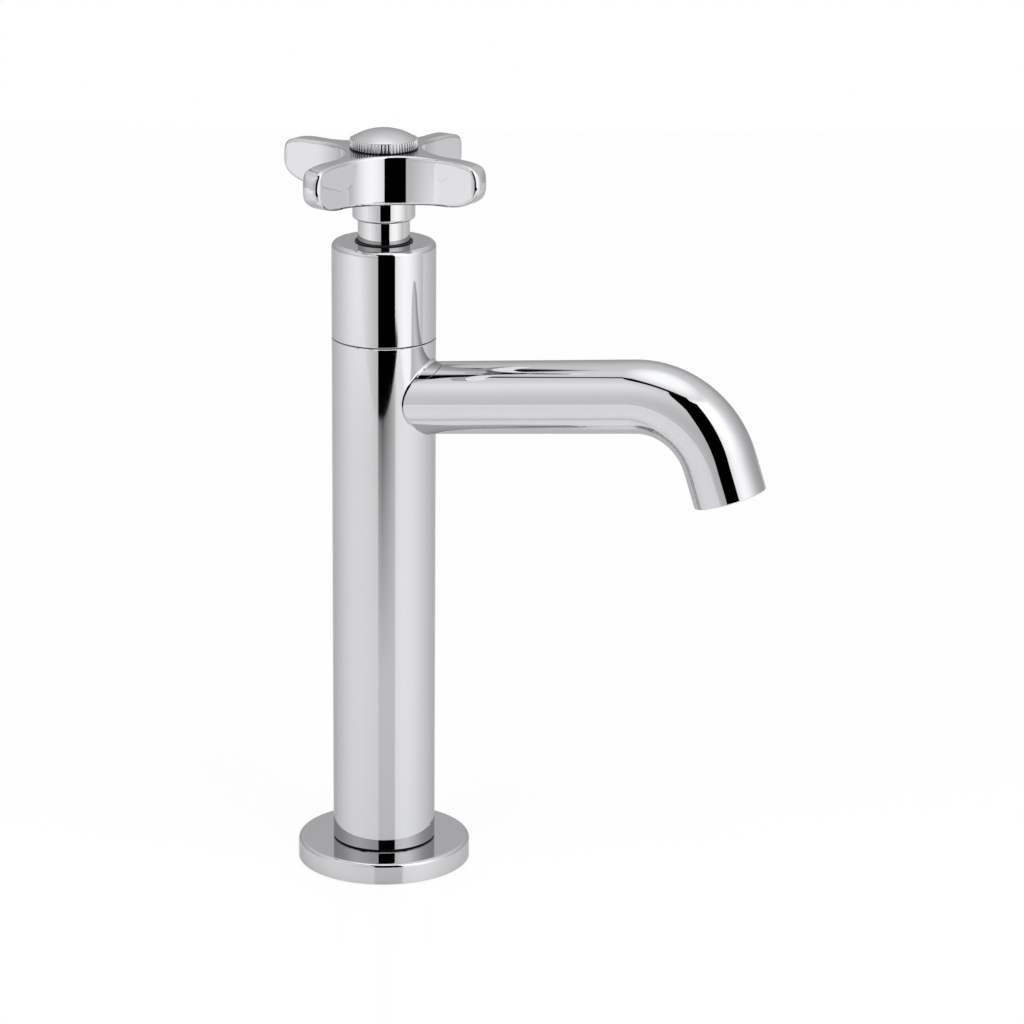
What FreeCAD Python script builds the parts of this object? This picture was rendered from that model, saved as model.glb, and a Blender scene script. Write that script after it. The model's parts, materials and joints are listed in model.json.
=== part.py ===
"""Deck-mounted single tap with a cross handle.

The origin is on the column's axis, in the plane of the deck.  +Z points up and +X points along the
spout.  All sizes are in millimetres and the tap is shown closed.
"""
import FreeCAD, Part
import math
import os

V = FreeCAD.Vector

# Clearances that several pieces share
OVERRUN = 1.0
EASE = 0.3
LEAD_IN = 0.4
RUN_OUT = 0.5
RING_GROOVE_HALF = 0.6

# Foot of the tap
FLANGE_R = 29.5
FLANGE_TOP = 7.6
FLANGE_LIFT = 0.3
FLANGE_EDGE = 1.4
GASKET_R_IN = 17.5
GASKET_R_OUT = 27.6
GASKET_TOP = 2.0
FOOT_RING_R_IN = 14.6
FOOT_RING_R_OUT = 16.9
FOOT_RING_BOTTOM = 7.0

# Column
COLUMN_R = 17.5
COLUMN_BORE_R = 15.0
COLUMN_FOOT = 8.0
COLUMN_TOP = 185.55
JOINT_GAP = 0.3
JOINT_CHAMFER = 0.25

# Insert in the column's foot
INSERT_TOP = 24.0
SPIGOT_R = 14.0
SPIGOT_BOTTOM = 0.0
STUD_X = 7.4
STUD_HOLE_R = 3.4
STUD_DEPTH = 12.0
HOSE_X = -6.0
HOSE_HOLE_R = 4.5
HOSE_DEPTH = 10.0

# Riser
RISER_R = 5.0
RISER_BORE_R = 3.5
RISER_BOTTOM = 18.0
RISER_TOP = 150.0
RISER_RING_WIRE = 0.5
RISER_LOW_RING = 3.0
RISER_HIGH_RING = 2.0

# Spout: straight run, bend, short drop
SPOUT_R = 12.2
SPOUT_BORE_R = 10.6
SPOUT_Z = 164.3
SPOUT_RISE = 6.85
SPOUT_START = 12.4
SPOUT_RUN = 91.6
BEND_R = 27.9
BEND_ANGLE = 78.3
SPOUT_DROP = 12.3
SPOUT_FILLET = 1.0
SOCKET_START = 5.0
SOCKET_REACH = 8.0
OUTLET_SEAT_R = 10.75
OUTLET_SEAT_DEPTH = 9.8

# Valve block
BLOCK_BOTTOM = 146.0
BLOCK_SPIGOT_R = 14.0
BLOCK_TOP = 192.0
CHAMBER_R = 9.0
CHAMBER_BOTTOM = 163.0
THREAD_R = 9.6
THREAD_BOTTOM = 177.0
GALLERY_R = 4.5
GALLERY_BOTTOM = 154.0
CROSS_HOLE_RISE = 4.0
OUTLET_PORT_R = 4.0
OUTLET_PORT_Z = 170.5

# Ceramic cartridge
SEAL_TOP = 166.6
SEAL_PLAY = 0.2
CAGE_R = 8.6
CAGE_BORE_R = 7.1
CAGE_BORE_TOP = 178.0
WINDOW_W = 7.0
WINDOW_BOTTOM = 170.2
WINDOW_TOP = 175.2
HEX_WIDTH = 22.0
HEX_TOP = 197.0
NECK_R = 7.0
NECK_TOP = 213.0
NECK_BORE_R = 4.46
DISC_T = 3.2
FIXED_DISC_R = 7.0
MOVING_DISC_R = 6.8
DISC_LAP = 0.02
PORT_R_IN = 2.0
PORT_R_OUT = 5.6
FIXED_PORT_SPAN = 80.0
MOVING_PORT_SPAN = 84.0
BODY_RING_WIRE = 0.8
BODY_RING_DROP = 1.4
BODY_GROOVE_HALF = 1.0
DOG_W = 3.0
DOG_L = 10.4
DOG_DEPTH = 1.4

# Spindle
SPINDLE_R = 4.4
SPINDLE_FLANGE_R = 6.6
SPINDLE_FLANGE_TOP = 177.8
SPINDLE_RING_Z = (201.0, 206.5)
SPINDLE_RING_WIRE = 0.5
CLIP_GROOVE_R = 3.6
CLIP_R = 6.0
CLIP_BOTTOM = 213.3
CLIP_T = 0.8
CLIP_GAP = 60.0
SPLINE_R = 4.0
SPLINE_TEETH = 20
SPLINE_DEPTH = 0.35
SPLINE_SHARE = 0.55
SPLINE_BOTTOM = 230.0
SPINDLE_TOP = 243.0

# Bonnet and the parts that turn above it
BONNET_TOP = 218.4
BONNET_EDGE = 1.8
BONNET_BORE_R = 14.5
BONNET_CEILING = 214.0
BONNET_HOLE_R = 9.5
GUIDE_BORE_R = 8.8
GUIDE_TOP = 218.75
GUIDE_LIP = 0.3
GUIDE_FLANGE_R = 11.5
GUIDE_FLANGE_T = 1.2
SLEEVE_R = 8.7
SLEEVE_BORE_R = 7.7
SLEEVE_BOTTOM = 206.5
SLEEVE_TOP = 230.0
COLLAR_R = 10.5
COLLAR_BOTTOM = 226.2
COLLAR_EDGE = 1.2
COLLAR_SPIGOT_R = 9.0
COLLAR_SPIGOT_H = 1.8

# Cross handle
HANDLE_TURN = -12.2
ARMS = 4
HUB_TOP = 249.8
HUB_BOTTOM = 233.2
ARM_LENGTH = 40.6
ARM_TIP_Z = 242.6
ARM_HALF_W = 3.6
ARM_FLARE = 6.0
WEB_R = 13.3
TIP_CORNER = 2.8
TIP_OVERRUN = 0.5
PLAN_OVERRUN = 4.0
HUB_FLAT_R = 12.0
ARM_UNDERSIDE = ((18.6, 0.06), (7.7, 0.17), (2.7, 0.43), (0.5, 0.72))
ARM_TOPSIDE = ((0.5, 0.58), (2.2, 0.26), (5.0, 0.12), (16.6, 0.04))
HANDLE_EDGE = 1.1
HUB_BORE_R = 6.5
HUB_BORE_TOP = 243.4
SCREW_SEAT_Z = 245.6
CAP_POCKET_R = 8.0

# Screw and index cap
SCREW_R = 2.45
SCREW_HEAD_R = 4.4
SCREW_HEAD_TOP = 248.2
SCREW_TIP = 234.0
SCREW_KEY = 4.0
SCREW_KEY_DEPTH = 2.0
SCREW_PLAY = 0.2
TAP_DEPTH_LEFT = 1.5
CAP_GASKET_R = 11.6
CAP_GASKET_T = 0.45
CAP_R = 11.3
CAP_RIM_TOP = 253.3
CAP_TOP = 256.5
CAP_EDGE = 0.2
CAP_SHOULDER = 0.35
CAP_SKIRT_R = 7.7
CAP_SKIRT_BOTTOM = 246.6
CAP_WALL = 1.5
CAP_HOLLOW = 1.0
CAP_RING_RISE = 1.5
CAP_GROOVE_PLAY = 0.3
CAP_GROOVE_HALF = 0.7
CAP_RIBS = 60
RIB_CUT_R = 0.42
RIB_CUT_OUT = 0.12
RIB_TOP_GAP = 0.25
CAP_RING_WIRE = 0.6

# Aerator, measured inwards from the spout's mouth
AERATOR_INSET = 0.8
AERATOR_R = 10.7
AERATOR_BORE_R = 9.3
AERATOR_LIP_R = 8.7
AERATOR_LIP_T = 0.9
AERATOR_TOP = 8.0
SCREEN_T = 1.6
SCREEN_PITCH = 3.0
SCREEN_HOLE = 1.25
SCREEN_ROWS = 3
NOTCH_ANGLES = (45.0, 135.0, 225.0, 315.0)
NOTCH_WALL = 0.6
NOTCH_L = 3.0
NOTCH_W = 2.0
NOTCH_DEPTH = 0.5
JET_BOTTOM = 4.8
JET_T = 1.4
JET_HOLES = 12
JET_HOLE_R = 0.6
JET_CIRCLE_R = 6.6


def turned(corners):
    """Solid turned about Z from (radius, height) corners."""
    points = [V(r, 0, z) for r, z in corners]
    return Part.Face(Part.makePolygon(points + points[:1])).revolve(V(0, 0, 0), V(0, 0, 1), 360)


def ring(r_in, r_out, z0, z1):
    """Plain ring about Z."""
    return turned([(r_in, z0), (r_out, z0), (r_out, z1), (r_in, z1)])


def rod(radius, z0, z1, x=0.0, y=0.0):
    """Upright cylinder between two heights."""
    return Part.makeCylinder(radius, z1 - z0, V(x, y, z0))


def o_ring(radius, wire, z, x=0.0):
    """Ring of round section."""
    return Part.makeTorus(radius, wire, V(x, 0, z), V(0, 0, 1))


def rims(shape, radius, height):
    """Circular edges of a shape at one radius and height."""
    found = []
    for edge in shape.Edges:
        curve = edge.Curve
        if not isinstance(curve, Part.Circle):
            continue
        if abs(curve.Radius - radius) < 0.001 and abs(curve.Center.z - height) < 0.001:
            found.append(edge)
    return found


def hex_prism(width, z0, z1, x=0.0, y=0.0):
    """Hexagonal bar, measured across its flats."""
    corner_r = width / math.sqrt(3.0)
    corners = []
    for i in range(7):
        angle = math.radians(60.0 * i)
        corners.append(V(x + corner_r * math.cos(angle), y + corner_r * math.sin(angle), z0))
    return Part.Face(Part.makePolygon(corners)).extrude(V(0, 0, z1 - z0))


def sector(r_in, r_out, middle, span, z0, z1):
    """Part of a ring, centred on one angle in degrees."""
    piece = ring(r_in, r_out, z0, z1)
    reach = 4.0 * r_out
    a, b = (math.radians(middle + side * span / 2.0) for side in (-1, 1))
    wedge = [V(0, 0, z0), V(reach * math.cos(a), reach * math.sin(a), z0)]
    wedge += [V(reach * math.cos(b), reach * math.sin(b), z0), V(0, 0, z0)]
    return piece.common(Part.Face(Part.makePolygon(wedge)).extrude(V(0, 0, z1 - z0)))


# ---- foot ----

def base_flange():
    """Round foot with a pocket below for the gasket and a step above for the foot ring."""
    body = turned([
        (SPIGOT_R, FLANGE_LIFT), (GASKET_R_IN, FLANGE_LIFT), (GASKET_R_IN, GASKET_TOP),
        (GASKET_R_OUT, GASKET_TOP), (GASKET_R_OUT, FLANGE_LIFT), (FLANGE_R, FLANGE_LIFT),
        (FLANGE_R, FLANGE_TOP), (FOOT_RING_R_OUT, FLANGE_TOP),
        (FOOT_RING_R_OUT, FOOT_RING_BOTTOM), (SPIGOT_R, FOOT_RING_BOTTOM)])
    return body.makeFillet(FLANGE_EDGE, rims(body, FLANGE_R, FLANGE_TOP))


def deck_gasket():
    """Soft ring that the tap stands on."""
    return ring(GASKET_R_IN, GASKET_R_OUT, 0.0, GASKET_TOP)


def foot_ring():
    """Black washer between the flange and the column."""
    return ring(FOOT_RING_R_IN, FOOT_RING_R_OUT, FOOT_RING_BOTTOM, COLUMN_FOOT)


def base_insert():
    """Plug in the column's foot, with the stud hole, the hose port and the riser socket."""
    body = turned([
        (0, SPIGOT_BOTTOM), (SPIGOT_R, SPIGOT_BOTTOM), (SPIGOT_R, COLUMN_FOOT),
        (COLUMN_BORE_R, COLUMN_FOOT), (COLUMN_BORE_R, INSERT_TOP), (0, INSERT_TOP)])
    cuts = [
        rod(STUD_HOLE_R, SPIGOT_BOTTOM, SPIGOT_BOTTOM + STUD_DEPTH, STUD_X),
        rod(HOSE_HOLE_R, SPIGOT_BOTTOM, SPIGOT_BOTTOM + HOSE_DEPTH, HOSE_X),
        rod(RISER_BORE_R, SPIGOT_BOTTOM, INSERT_TOP, HOSE_X),
        rod(RISER_R, RISER_BOTTOM, INSERT_TOP, HOSE_X)]
    return body.cut(cuts)


# ---- column and waterway ----

def spout_frame():
    """Start, direction, end of the straight run, bend centre, mouth and mouth direction."""
    rise = math.radians(SPOUT_RISE)
    fall = math.radians(SPOUT_RISE - BEND_ANGLE)
    along = V(math.cos(rise), 0, math.sin(rise))
    start = V(0, 0, SPOUT_Z)
    bend_start = start + along * SPOUT_RUN
    centre = bend_start + V(math.sin(rise), 0, -math.cos(rise)) * BEND_R
    bend_end = centre + V(-math.sin(fall), 0, math.cos(fall)) * BEND_R
    out = V(math.cos(fall), 0, math.sin(fall))
    return start, along, bend_start, centre, bend_end, out


def spout_bar(radius, first, drop):
    """Solid bar along the spout's line, from one distance to past the bend."""
    start, along, bend_start, centre, bend_end, out = spout_frame()
    run = Part.makeCylinder(radius, SPOUT_RUN - first, start + along * first, along)
    disc = Part.Face(Part.Wire(Part.makeCircle(radius, bend_start, along)))
    bend = disc.revolve(centre, V(0, 1, 0), BEND_ANGLE)
    end = Part.makeCylinder(radius, drop, bend_end, out)
    return run.fuse([bend, end]).removeSplitter()


def spout_tube():
    """Bent tube with a wider seat inside its mouth."""
    _, _, _, _, bend_end, out = spout_frame()
    tube = spout_bar(SPOUT_R, SPOUT_START, SPOUT_DROP)
    seat_start = bend_end + out * (SPOUT_DROP - OUTLET_SEAT_DEPTH)
    seat = Part.makeCylinder(OUTLET_SEAT_R, OUTLET_SEAT_DEPTH, seat_start, out)
    tube = tube.cut([spout_bar(SPOUT_BORE_R, SPOUT_START, SPOUT_DROP), seat])
    mouth = bend_end + out * SPOUT_DROP
    lip = [e for e in tube.Edges if isinstance(e.Curve, Part.Circle)
           and e.Curve.Center.distanceToPoint(mouth) < 0.001]
    return tube.makeChamfer(EASE, lip)


def column_body():
    """Tube with the spout's socket and a small fillet round it."""
    start, along, _, _, _, _ = spout_frame()
    column = rod(COLUMN_R, COLUMN_FOOT, COLUMN_TOP)
    socket_start = start + along * SOCKET_START
    stub = Part.makeCylinder(SPOUT_R, COLUMN_R + SOCKET_REACH, socket_start, along)
    body = column.fuse(stub)
    seam = []
    for edge in body.Edges:
        box = edge.BoundBox
        if not isinstance(edge.Curve, (Part.Circle, Part.Line)) and box.XMax < COLUMN_R + OVERRUN:
            seam.append(edge)
    body = body.makeFillet(SPOUT_FILLET, seam)
    socket = Part.makeCylinder(SPOUT_R, 2 * (COLUMN_R + SOCKET_REACH), socket_start, along)
    body = body.cut([socket, rod(COLUMN_BORE_R, COLUMN_FOOT, COLUMN_TOP)])
    ends = rims(body, COLUMN_R, COLUMN_FOOT) + rims(body, COLUMN_R, COLUMN_TOP)
    return body.makeChamfer(JOINT_CHAMFER, ends)


def riser_pipe():
    """Pipe from the base insert up to the valve block, with a groove at each end."""
    pipe = rod(RISER_R, RISER_BOTTOM, RISER_TOP, HOSE_X)
    pipe = pipe.cut(rod(RISER_BORE_R, RISER_BOTTOM, RISER_TOP, HOSE_X))
    for z in riser_ring_heights():
        groove = ring(RISER_R - 2 * RISER_RING_WIRE, RISER_R + OVERRUN,
                      z - RING_GROOVE_HALF, z + RING_GROOVE_HALF)
        groove.translate(V(HOSE_X, 0, 0))
        pipe = pipe.cut(groove)
    return pipe


def riser_ring_heights():
    """Heights of the two seals on the riser."""
    return RISER_BOTTOM + RISER_LOW_RING, RISER_TOP - RISER_HIGH_RING


def riser_o_rings():
    """Two seals on the riser."""
    radius = RISER_R - RISER_RING_WIRE
    return Part.makeCompound([o_ring(radius, RISER_RING_WIRE, z, HOSE_X) for z in riser_ring_heights()])


def valve_block():
    """Brass block in the column's head: riser socket, gallery, seat, chamber and thread."""
    start, along, _, _, _, _ = spout_frame()
    body = turned([
        (0, BLOCK_BOTTOM), (COLUMN_BORE_R, BLOCK_BOTTOM), (COLUMN_BORE_R, COLUMN_TOP),
        (BLOCK_SPIGOT_R, COLUMN_TOP), (BLOCK_SPIGOT_R, BLOCK_TOP), (0, BLOCK_TOP)])
    cuts = [
        rod(RISER_R, BLOCK_BOTTOM, RISER_TOP, HOSE_X),
        rod(RISER_BORE_R, RISER_TOP, GALLERY_BOTTOM + CROSS_HOLE_RISE, HOSE_X),
        rod(GALLERY_R, GALLERY_BOTTOM, CHAMBER_BOTTOM),
        rod(CHAMBER_R, CHAMBER_BOTTOM, THREAD_BOTTOM),
        rod(THREAD_R, THREAD_BOTTOM, BLOCK_TOP),
        Part.makeCylinder(OUTLET_PORT_R, COLUMN_R, V(0, 0, OUTLET_PORT_Z), V(1, 0, 0)),
        Part.makeCylinder(SPOUT_R, COLUMN_R, start + along * SPOUT_START, along)]
    return body.cut(cuts)


# ---- cartridge ----

def seat_seal():
    """Soft ring between the block's seat and the cartridge."""
    return ring(GALLERY_R, CAGE_R - SEAL_PLAY, CHAMBER_BOTTOM, SEAL_TOP)


def fixed_disc():
    """Ceramic disc with two ports across the spout's line."""
    disc = rod(FIXED_DISC_R, SEAL_TOP, SEAL_TOP + DISC_T)
    ports = []
    for middle in (90.0, 270.0):
        ports.append(sector(PORT_R_IN, PORT_R_OUT, middle, FIXED_PORT_SPAN, SEAL_TOP, SEAL_TOP + DISC_T))
    return disc.cut(ports)


def moving_disc():
    """Ceramic disc with two side openings, which a quarter turn brings over the ports."""
    bottom = SEAL_TOP + DISC_T + DISC_LAP
    top = bottom + DISC_T
    disc = rod(MOVING_DISC_R, bottom, top)
    openings = []
    for middle in (0.0, 180.0):
        openings.append(sector(PORT_R_IN, MOVING_DISC_R + OVERRUN, middle, MOVING_PORT_SPAN, bottom, top))
    slot = Part.makeBox(DOG_W, DOG_L, DOG_DEPTH, V(-DOG_W / 2, -DOG_L / 2, top - DOG_DEPTH))
    return disc.cut(openings + [slot])


def cartridge_body():
    """Cage with two windows, thread, hexagon and neck in one turned piece."""
    body = turned([
        (0, SEAL_TOP), (CAGE_R, SEAL_TOP), (CAGE_R, THREAD_BOTTOM + RUN_OUT),
        (THREAD_R, THREAD_BOTTOM + RUN_OUT), (THREAD_R, BLOCK_TOP), (0, BLOCK_TOP)])
    body = body.fuse([hex_prism(HEX_WIDTH, BLOCK_TOP, HEX_TOP), rod(NECK_R, HEX_TOP, NECK_TOP)])
    window = Part.makeBox(4 * CAGE_R, WINDOW_W, WINDOW_TOP - WINDOW_BOTTOM,
                          V(-2 * CAGE_R, -WINDOW_W / 2, WINDOW_BOTTOM))
    ring_z = BLOCK_TOP - BODY_RING_DROP
    groove = ring(THREAD_R - 2 * BODY_RING_WIRE, THREAD_R + OVERRUN,
                  ring_z - BODY_GROOVE_HALF, ring_z + BODY_GROOVE_HALF)
    cuts = [
        rod(CAGE_BORE_R, SEAL_TOP, CAGE_BORE_TOP), rod(NECK_BORE_R, CAGE_BORE_TOP, NECK_TOP),
        window, groove]
    body = body.cut(cuts)
    return body.makeChamfer(LEAD_IN, rims(body, NECK_R, NECK_TOP))


def cartridge_o_ring():
    """Seal below the cartridge's hexagon."""
    return o_ring(THREAD_R - BODY_RING_WIRE, BODY_RING_WIRE, BLOCK_TOP - BODY_RING_DROP)


def spindle_blank():
    """Turned shape of the spindle, without its grooves and dog."""
    flange_bottom = SEAL_TOP + 2 * DISC_T + DISC_LAP
    clip_top = CLIP_BOTTOM + CLIP_T
    return turned([
        (0, flange_bottom), (SPINDLE_FLANGE_R, flange_bottom),
        (SPINDLE_FLANGE_R, SPINDLE_FLANGE_TOP), (SPINDLE_R, SPINDLE_FLANGE_TOP),
        (SPINDLE_R, CLIP_BOTTOM), (CLIP_GROOVE_R, CLIP_BOTTOM), (CLIP_GROOVE_R, clip_top),
        (SPLINE_R, clip_top), (SPLINE_R, SPINDLE_TOP - LEAD_IN), (SPLINE_R - LEAD_IN, SPINDLE_TOP),
        (0, SPINDLE_TOP)])


def spline_grooves():
    """V grooves that leave the spindle's splines standing."""
    half = math.pi / SPLINE_TEETH * SPLINE_SHARE
    grooves = []
    for i in range(SPLINE_TEETH):
        angle = 2 * math.pi * i / SPLINE_TEETH
        outer = SPLINE_R + EASE
        corners = [
            V((SPLINE_R - SPLINE_DEPTH) * math.cos(angle), (SPLINE_R - SPLINE_DEPTH) * math.sin(angle), 0),
            V(outer * math.cos(angle - half), outer * math.sin(angle - half), 0),
            V(outer * math.cos(angle + half), outer * math.sin(angle + half), 0)]
        face = Part.Face(Part.makePolygon(corners + corners[:1]))
        face.translate(V(0, 0, SPLINE_BOTTOM))
        grooves.append(face.extrude(V(0, 0, SPINDLE_TOP + OVERRUN - SPLINE_BOTTOM)))
    return grooves


def spindle():
    """Spindle with its dog, two seal grooves, splines and tapped end."""
    flange_bottom = SEAL_TOP + 2 * DISC_T + DISC_LAP
    dog = Part.makeBox(DOG_W, DOG_L, DOG_DEPTH,
                       V(-DOG_W / 2, -DOG_L / 2, flange_bottom - DOG_DEPTH))
    body = spindle_blank().fuse(dog)
    cuts = [ring(SPINDLE_R - 2 * SPINDLE_RING_WIRE, SPINDLE_R + OVERRUN,
                 z - RING_GROOVE_HALF, z + RING_GROOVE_HALF) for z in SPINDLE_RING_Z]
    cuts.append(rod(SCREW_R, SCREW_TIP - TAP_DEPTH_LEFT, SPINDLE_TOP))
    return body.cut(cuts + spline_grooves())


def spindle_o_rings():
    """Two seals in the spindle's grooves."""
    radius = SPINDLE_R - SPINDLE_RING_WIRE
    return Part.makeCompound([o_ring(radius, SPINDLE_RING_WIRE, z) for z in SPINDLE_RING_Z])


def spindle_clip():
    """Open spring clip that holds the spindle in the neck."""
    clip = ring(CLIP_GROOVE_R, CLIP_R, CLIP_BOTTOM, CLIP_BOTTOM + CLIP_T)
    opening = sector(RUN_OUT, CLIP_R + OVERRUN, 90.0, CLIP_GAP, CLIP_BOTTOM, CLIP_BOTTOM + CLIP_T)
    return clip.cut(opening)


# ---- bonnet and the turning parts above it ----

def bonnet_sleeve():
    """Cover of the cartridge, as wide as the column."""
    bottom = COLUMN_TOP + JOINT_GAP
    body = turned([
        (BLOCK_SPIGOT_R, bottom), (COLUMN_R, bottom), (COLUMN_R, BONNET_TOP),
        (BONNET_HOLE_R, BONNET_TOP), (BONNET_HOLE_R, BONNET_CEILING),
        (BONNET_BORE_R, BONNET_CEILING), (BONNET_BORE_R, BLOCK_TOP + RUN_OUT),
        (BLOCK_SPIGOT_R, BLOCK_TOP + RUN_OUT)])
    body = body.makeFillet(BONNET_EDGE, rims(body, COLUMN_R, BONNET_TOP))
    edges = rims(body, COLUMN_R, bottom) + rims(body, BONNET_HOLE_R, BONNET_TOP)
    return body.makeChamfer(JOINT_CHAMFER, edges)


def stem_guide_ring():
    """Black ring that guides the turning sleeve in the bonnet's hole, with a round lip on top."""
    flange_bottom = BONNET_CEILING - GUIDE_FLANGE_T
    body = turned([
        (GUIDE_BORE_R, flange_bottom), (GUIDE_FLANGE_R, flange_bottom),
        (GUIDE_FLANGE_R, BONNET_CEILING), (BONNET_HOLE_R, BONNET_CEILING),
        (BONNET_HOLE_R, GUIDE_TOP), (GUIDE_BORE_R, GUIDE_TOP)])
    lip = rims(body, BONNET_HOLE_R, GUIDE_TOP) + rims(body, GUIDE_BORE_R, GUIDE_TOP)
    return body.makeFillet(GUIDE_LIP, lip)


def stem_sleeve():
    """Bright tube that turns with the handle."""
    body = ring(SLEEVE_BORE_R, SLEEVE_R, SLEEVE_BOTTOM, SLEEVE_TOP)
    return body.makeChamfer(EASE, rims(body, SLEEVE_R, SLEEVE_BOTTOM))


def handle_collar():
    """Collar under the handle, with a spigot in the hub and a socket for the sleeve."""
    spigot_top = HUB_BOTTOM + COLLAR_SPIGOT_H
    body = turned([
        (SLEEVE_R, COLLAR_BOTTOM), (COLLAR_R, COLLAR_BOTTOM), (COLLAR_R, HUB_BOTTOM),
        (COLLAR_SPIGOT_R, HUB_BOTTOM), (COLLAR_SPIGOT_R, spigot_top),
        (SLEEVE_BORE_R, spigot_top), (SLEEVE_BORE_R, SLEEVE_TOP), (SLEEVE_R, SLEEVE_TOP)])
    return body.makeFillet(COLLAR_EDGE, rims(body, COLLAR_R, COLLAR_BOTTOM))


def handle_plan():
    """Prism of the handle seen from above: slim arms with round corners, joined by hollow webs.

    In each arm's own frame the arm runs along X.  Its flank is a straight line that flares towards
    the tip, tangent to the web's arc on one side and to the corner's arc on the other.
    """
    flare = math.radians(ARM_FLARE)
    slope = math.tan(flare)
    base = ARM_HALF_W - ARM_LENGTH * slope
    grip = slope * math.sin(flare) + math.cos(flare)
    diagonal = math.sqrt(2.0)
    web_radius = (base * diagonal - WEB_R * (1 - slope)) / (1 - slope - grip * diagonal)
    web_centre = (WEB_R + web_radius) / diagonal
    foot = V(web_centre + web_radius * math.sin(flare), web_centre - web_radius * math.cos(flare), 0)
    end = ARM_LENGTH + TIP_OVERRUN
    corner_x = end - TIP_CORNER
    corner_y = base + corner_x * slope - TIP_CORNER / math.cos(flare)
    start = V(corner_x - TIP_CORNER * math.sin(flare), corner_y + TIP_CORNER * math.cos(flare), 0)
    lean = (math.pi / 2 + flare) / 2
    middle = V(corner_x + TIP_CORNER * math.cos(lean), corner_y + TIP_CORNER * math.sin(lean), 0)
    stop = V(end, corner_y, 0)
    web = WEB_R / diagonal
    edges = []
    for i in range(ARMS):
        turn = FreeCAD.Rotation(V(0, 0, 1), 360.0 / ARMS * i)
        edges += half_arm(turn, 1.0, foot, start, middle, stop)
        after = FreeCAD.Rotation(V(0, 0, 1), 360.0 / ARMS * (i + 1))
        edges += half_arm(after, -1.0, foot, start, middle, stop)
        edges.append(Part.LineSegment(turn.multVec(mirrored(stop)), turn.multVec(stop)).toShape())
        arc = Part.Arc(turn.multVec(foot), turn.multVec(V(web, web, 0)), after.multVec(mirrored(foot)))
        edges.append(arc.toShape())
    face = Part.Face(Part.Wire(Part.__sortEdges__(edges)))
    face.translate(V(0, 0, HUB_BOTTOM - PLAN_OVERRUN))
    return face.extrude(V(0, 0, HUB_TOP - HUB_BOTTOM + 2 * PLAN_OVERRUN))


def mirrored(point):
    """The same point on the other side of an arm."""
    return V(point.x, -point.y, point.z)


def half_arm(turn, side, foot, start, middle, stop):
    """Flank and corner on one side of one arm."""
    points = [turn.multVec(V(p.x, side * p.y, 0)) for p in (foot, start, middle, stop)]
    flank = Part.LineSegment(points[0], points[1]).toShape()
    corner = Part.Arc(points[1], points[2], points[3]).toShape()
    return [flank, corner]


def handle_side():
    """Turned blank with the arms' side view: flat hub, falling top, rounded tip, rising underside.

    ARM_UNDERSIDE and ARM_TOPSIDE hold pairs: the distance back from the tip, and the share of the
    height between the hub's face and the tip that the arm has lost there.
    """
    drop = HUB_TOP - ARM_TIP_Z
    lift = ARM_TIP_Z - HUB_BOTTOM
    outline = [V(HUB_FLAT_R, 0, HUB_BOTTOM)]
    outline += [V(ARM_LENGTH - back, 0, HUB_BOTTOM + share * lift) for back, share in ARM_UNDERSIDE]
    outline.append(V(ARM_LENGTH, 0, ARM_TIP_Z))
    outline += [V(ARM_LENGTH - back, 0, HUB_TOP - share * drop) for back, share in ARM_TOPSIDE]
    outline.append(V(HUB_FLAT_R, 0, HUB_TOP))
    curve = Part.BSplineCurve()
    curve.interpolate(Points=outline, InitialTangent=V(1, 0, 0), FinalTangent=V(-1, 0, 0))
    top = Part.LineSegment(outline[-1], V(0, 0, HUB_TOP)).toShape()
    axis = Part.LineSegment(V(0, 0, HUB_TOP), V(0, 0, HUB_BOTTOM)).toShape()
    bottom = Part.LineSegment(V(0, 0, HUB_BOTTOM), outline[0]).toShape()
    face = Part.Face(Part.Wire([curve.toShape(), top, axis, bottom]))
    return face.revolve(V(0, 0, 0), V(0, 0, 1), 360)


def cross_handle():
    """Cast cross: the plan and the side view meet, every edge is eased, the hub is bored."""
    blank = handle_plan().common(handle_side())
    flanks = []
    for edge in blank.Edges:
        box = edge.BoundBox
        outside = max(-box.XMin, box.XMax, -box.YMin, box.YMax) > HUB_FLAT_R + RUN_OUT
        sharp = len(blank.ancestorsOfType(edge, Part.Face)) == 2
        if outside and sharp and not seam_edge(edge, blank):
            flanks.append(edge)
    blank = blank.makeFillet(HANDLE_EDGE, flanks)
    cuts = [
        rod(HUB_BORE_R, HUB_BOTTOM - OVERRUN, HUB_BORE_TOP),
        rod(COLLAR_SPIGOT_R, HUB_BOTTOM - OVERRUN, HUB_BOTTOM + COLLAR_SPIGOT_H),
        rod(SCREW_R + SCREW_PLAY, HUB_BORE_TOP - OVERRUN, SCREW_SEAT_Z + OVERRUN),
        rod(CAP_POCKET_R, SCREW_SEAT_Z, HUB_TOP + OVERRUN)]
    return turned_to_rest(blank.cut(cuts))


def seam_edge(edge, shape):
    """True where both faces beside an edge are the same turned surface."""
    kinds = {type(face.Surface).__name__ for face in shape.ancestorsOfType(edge, Part.Face)}
    return len(kinds) == 1


def turned_to_rest(shape):
    """Turn a shape of the handle to its closed position."""
    shape.rotate(V(0, 0, 0), V(0, 0, 1), HANDLE_TURN)
    return shape


def spline_insert():
    """Bush between the splined spindle and the hub."""
    blank = rod(HUB_BORE_R, HUB_BOTTOM + COLLAR_SPIGOT_H, HUB_BORE_TOP)
    shaft = rod(SPLINE_R, SPLINE_BOTTOM, SPINDLE_TOP)
    screw_hole = rod(SCREW_R + SCREW_PLAY, SPINDLE_TOP - OVERRUN, HUB_BORE_TOP)
    return blank.cut([shaft.cut(spline_grooves()), screw_hole])


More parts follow.
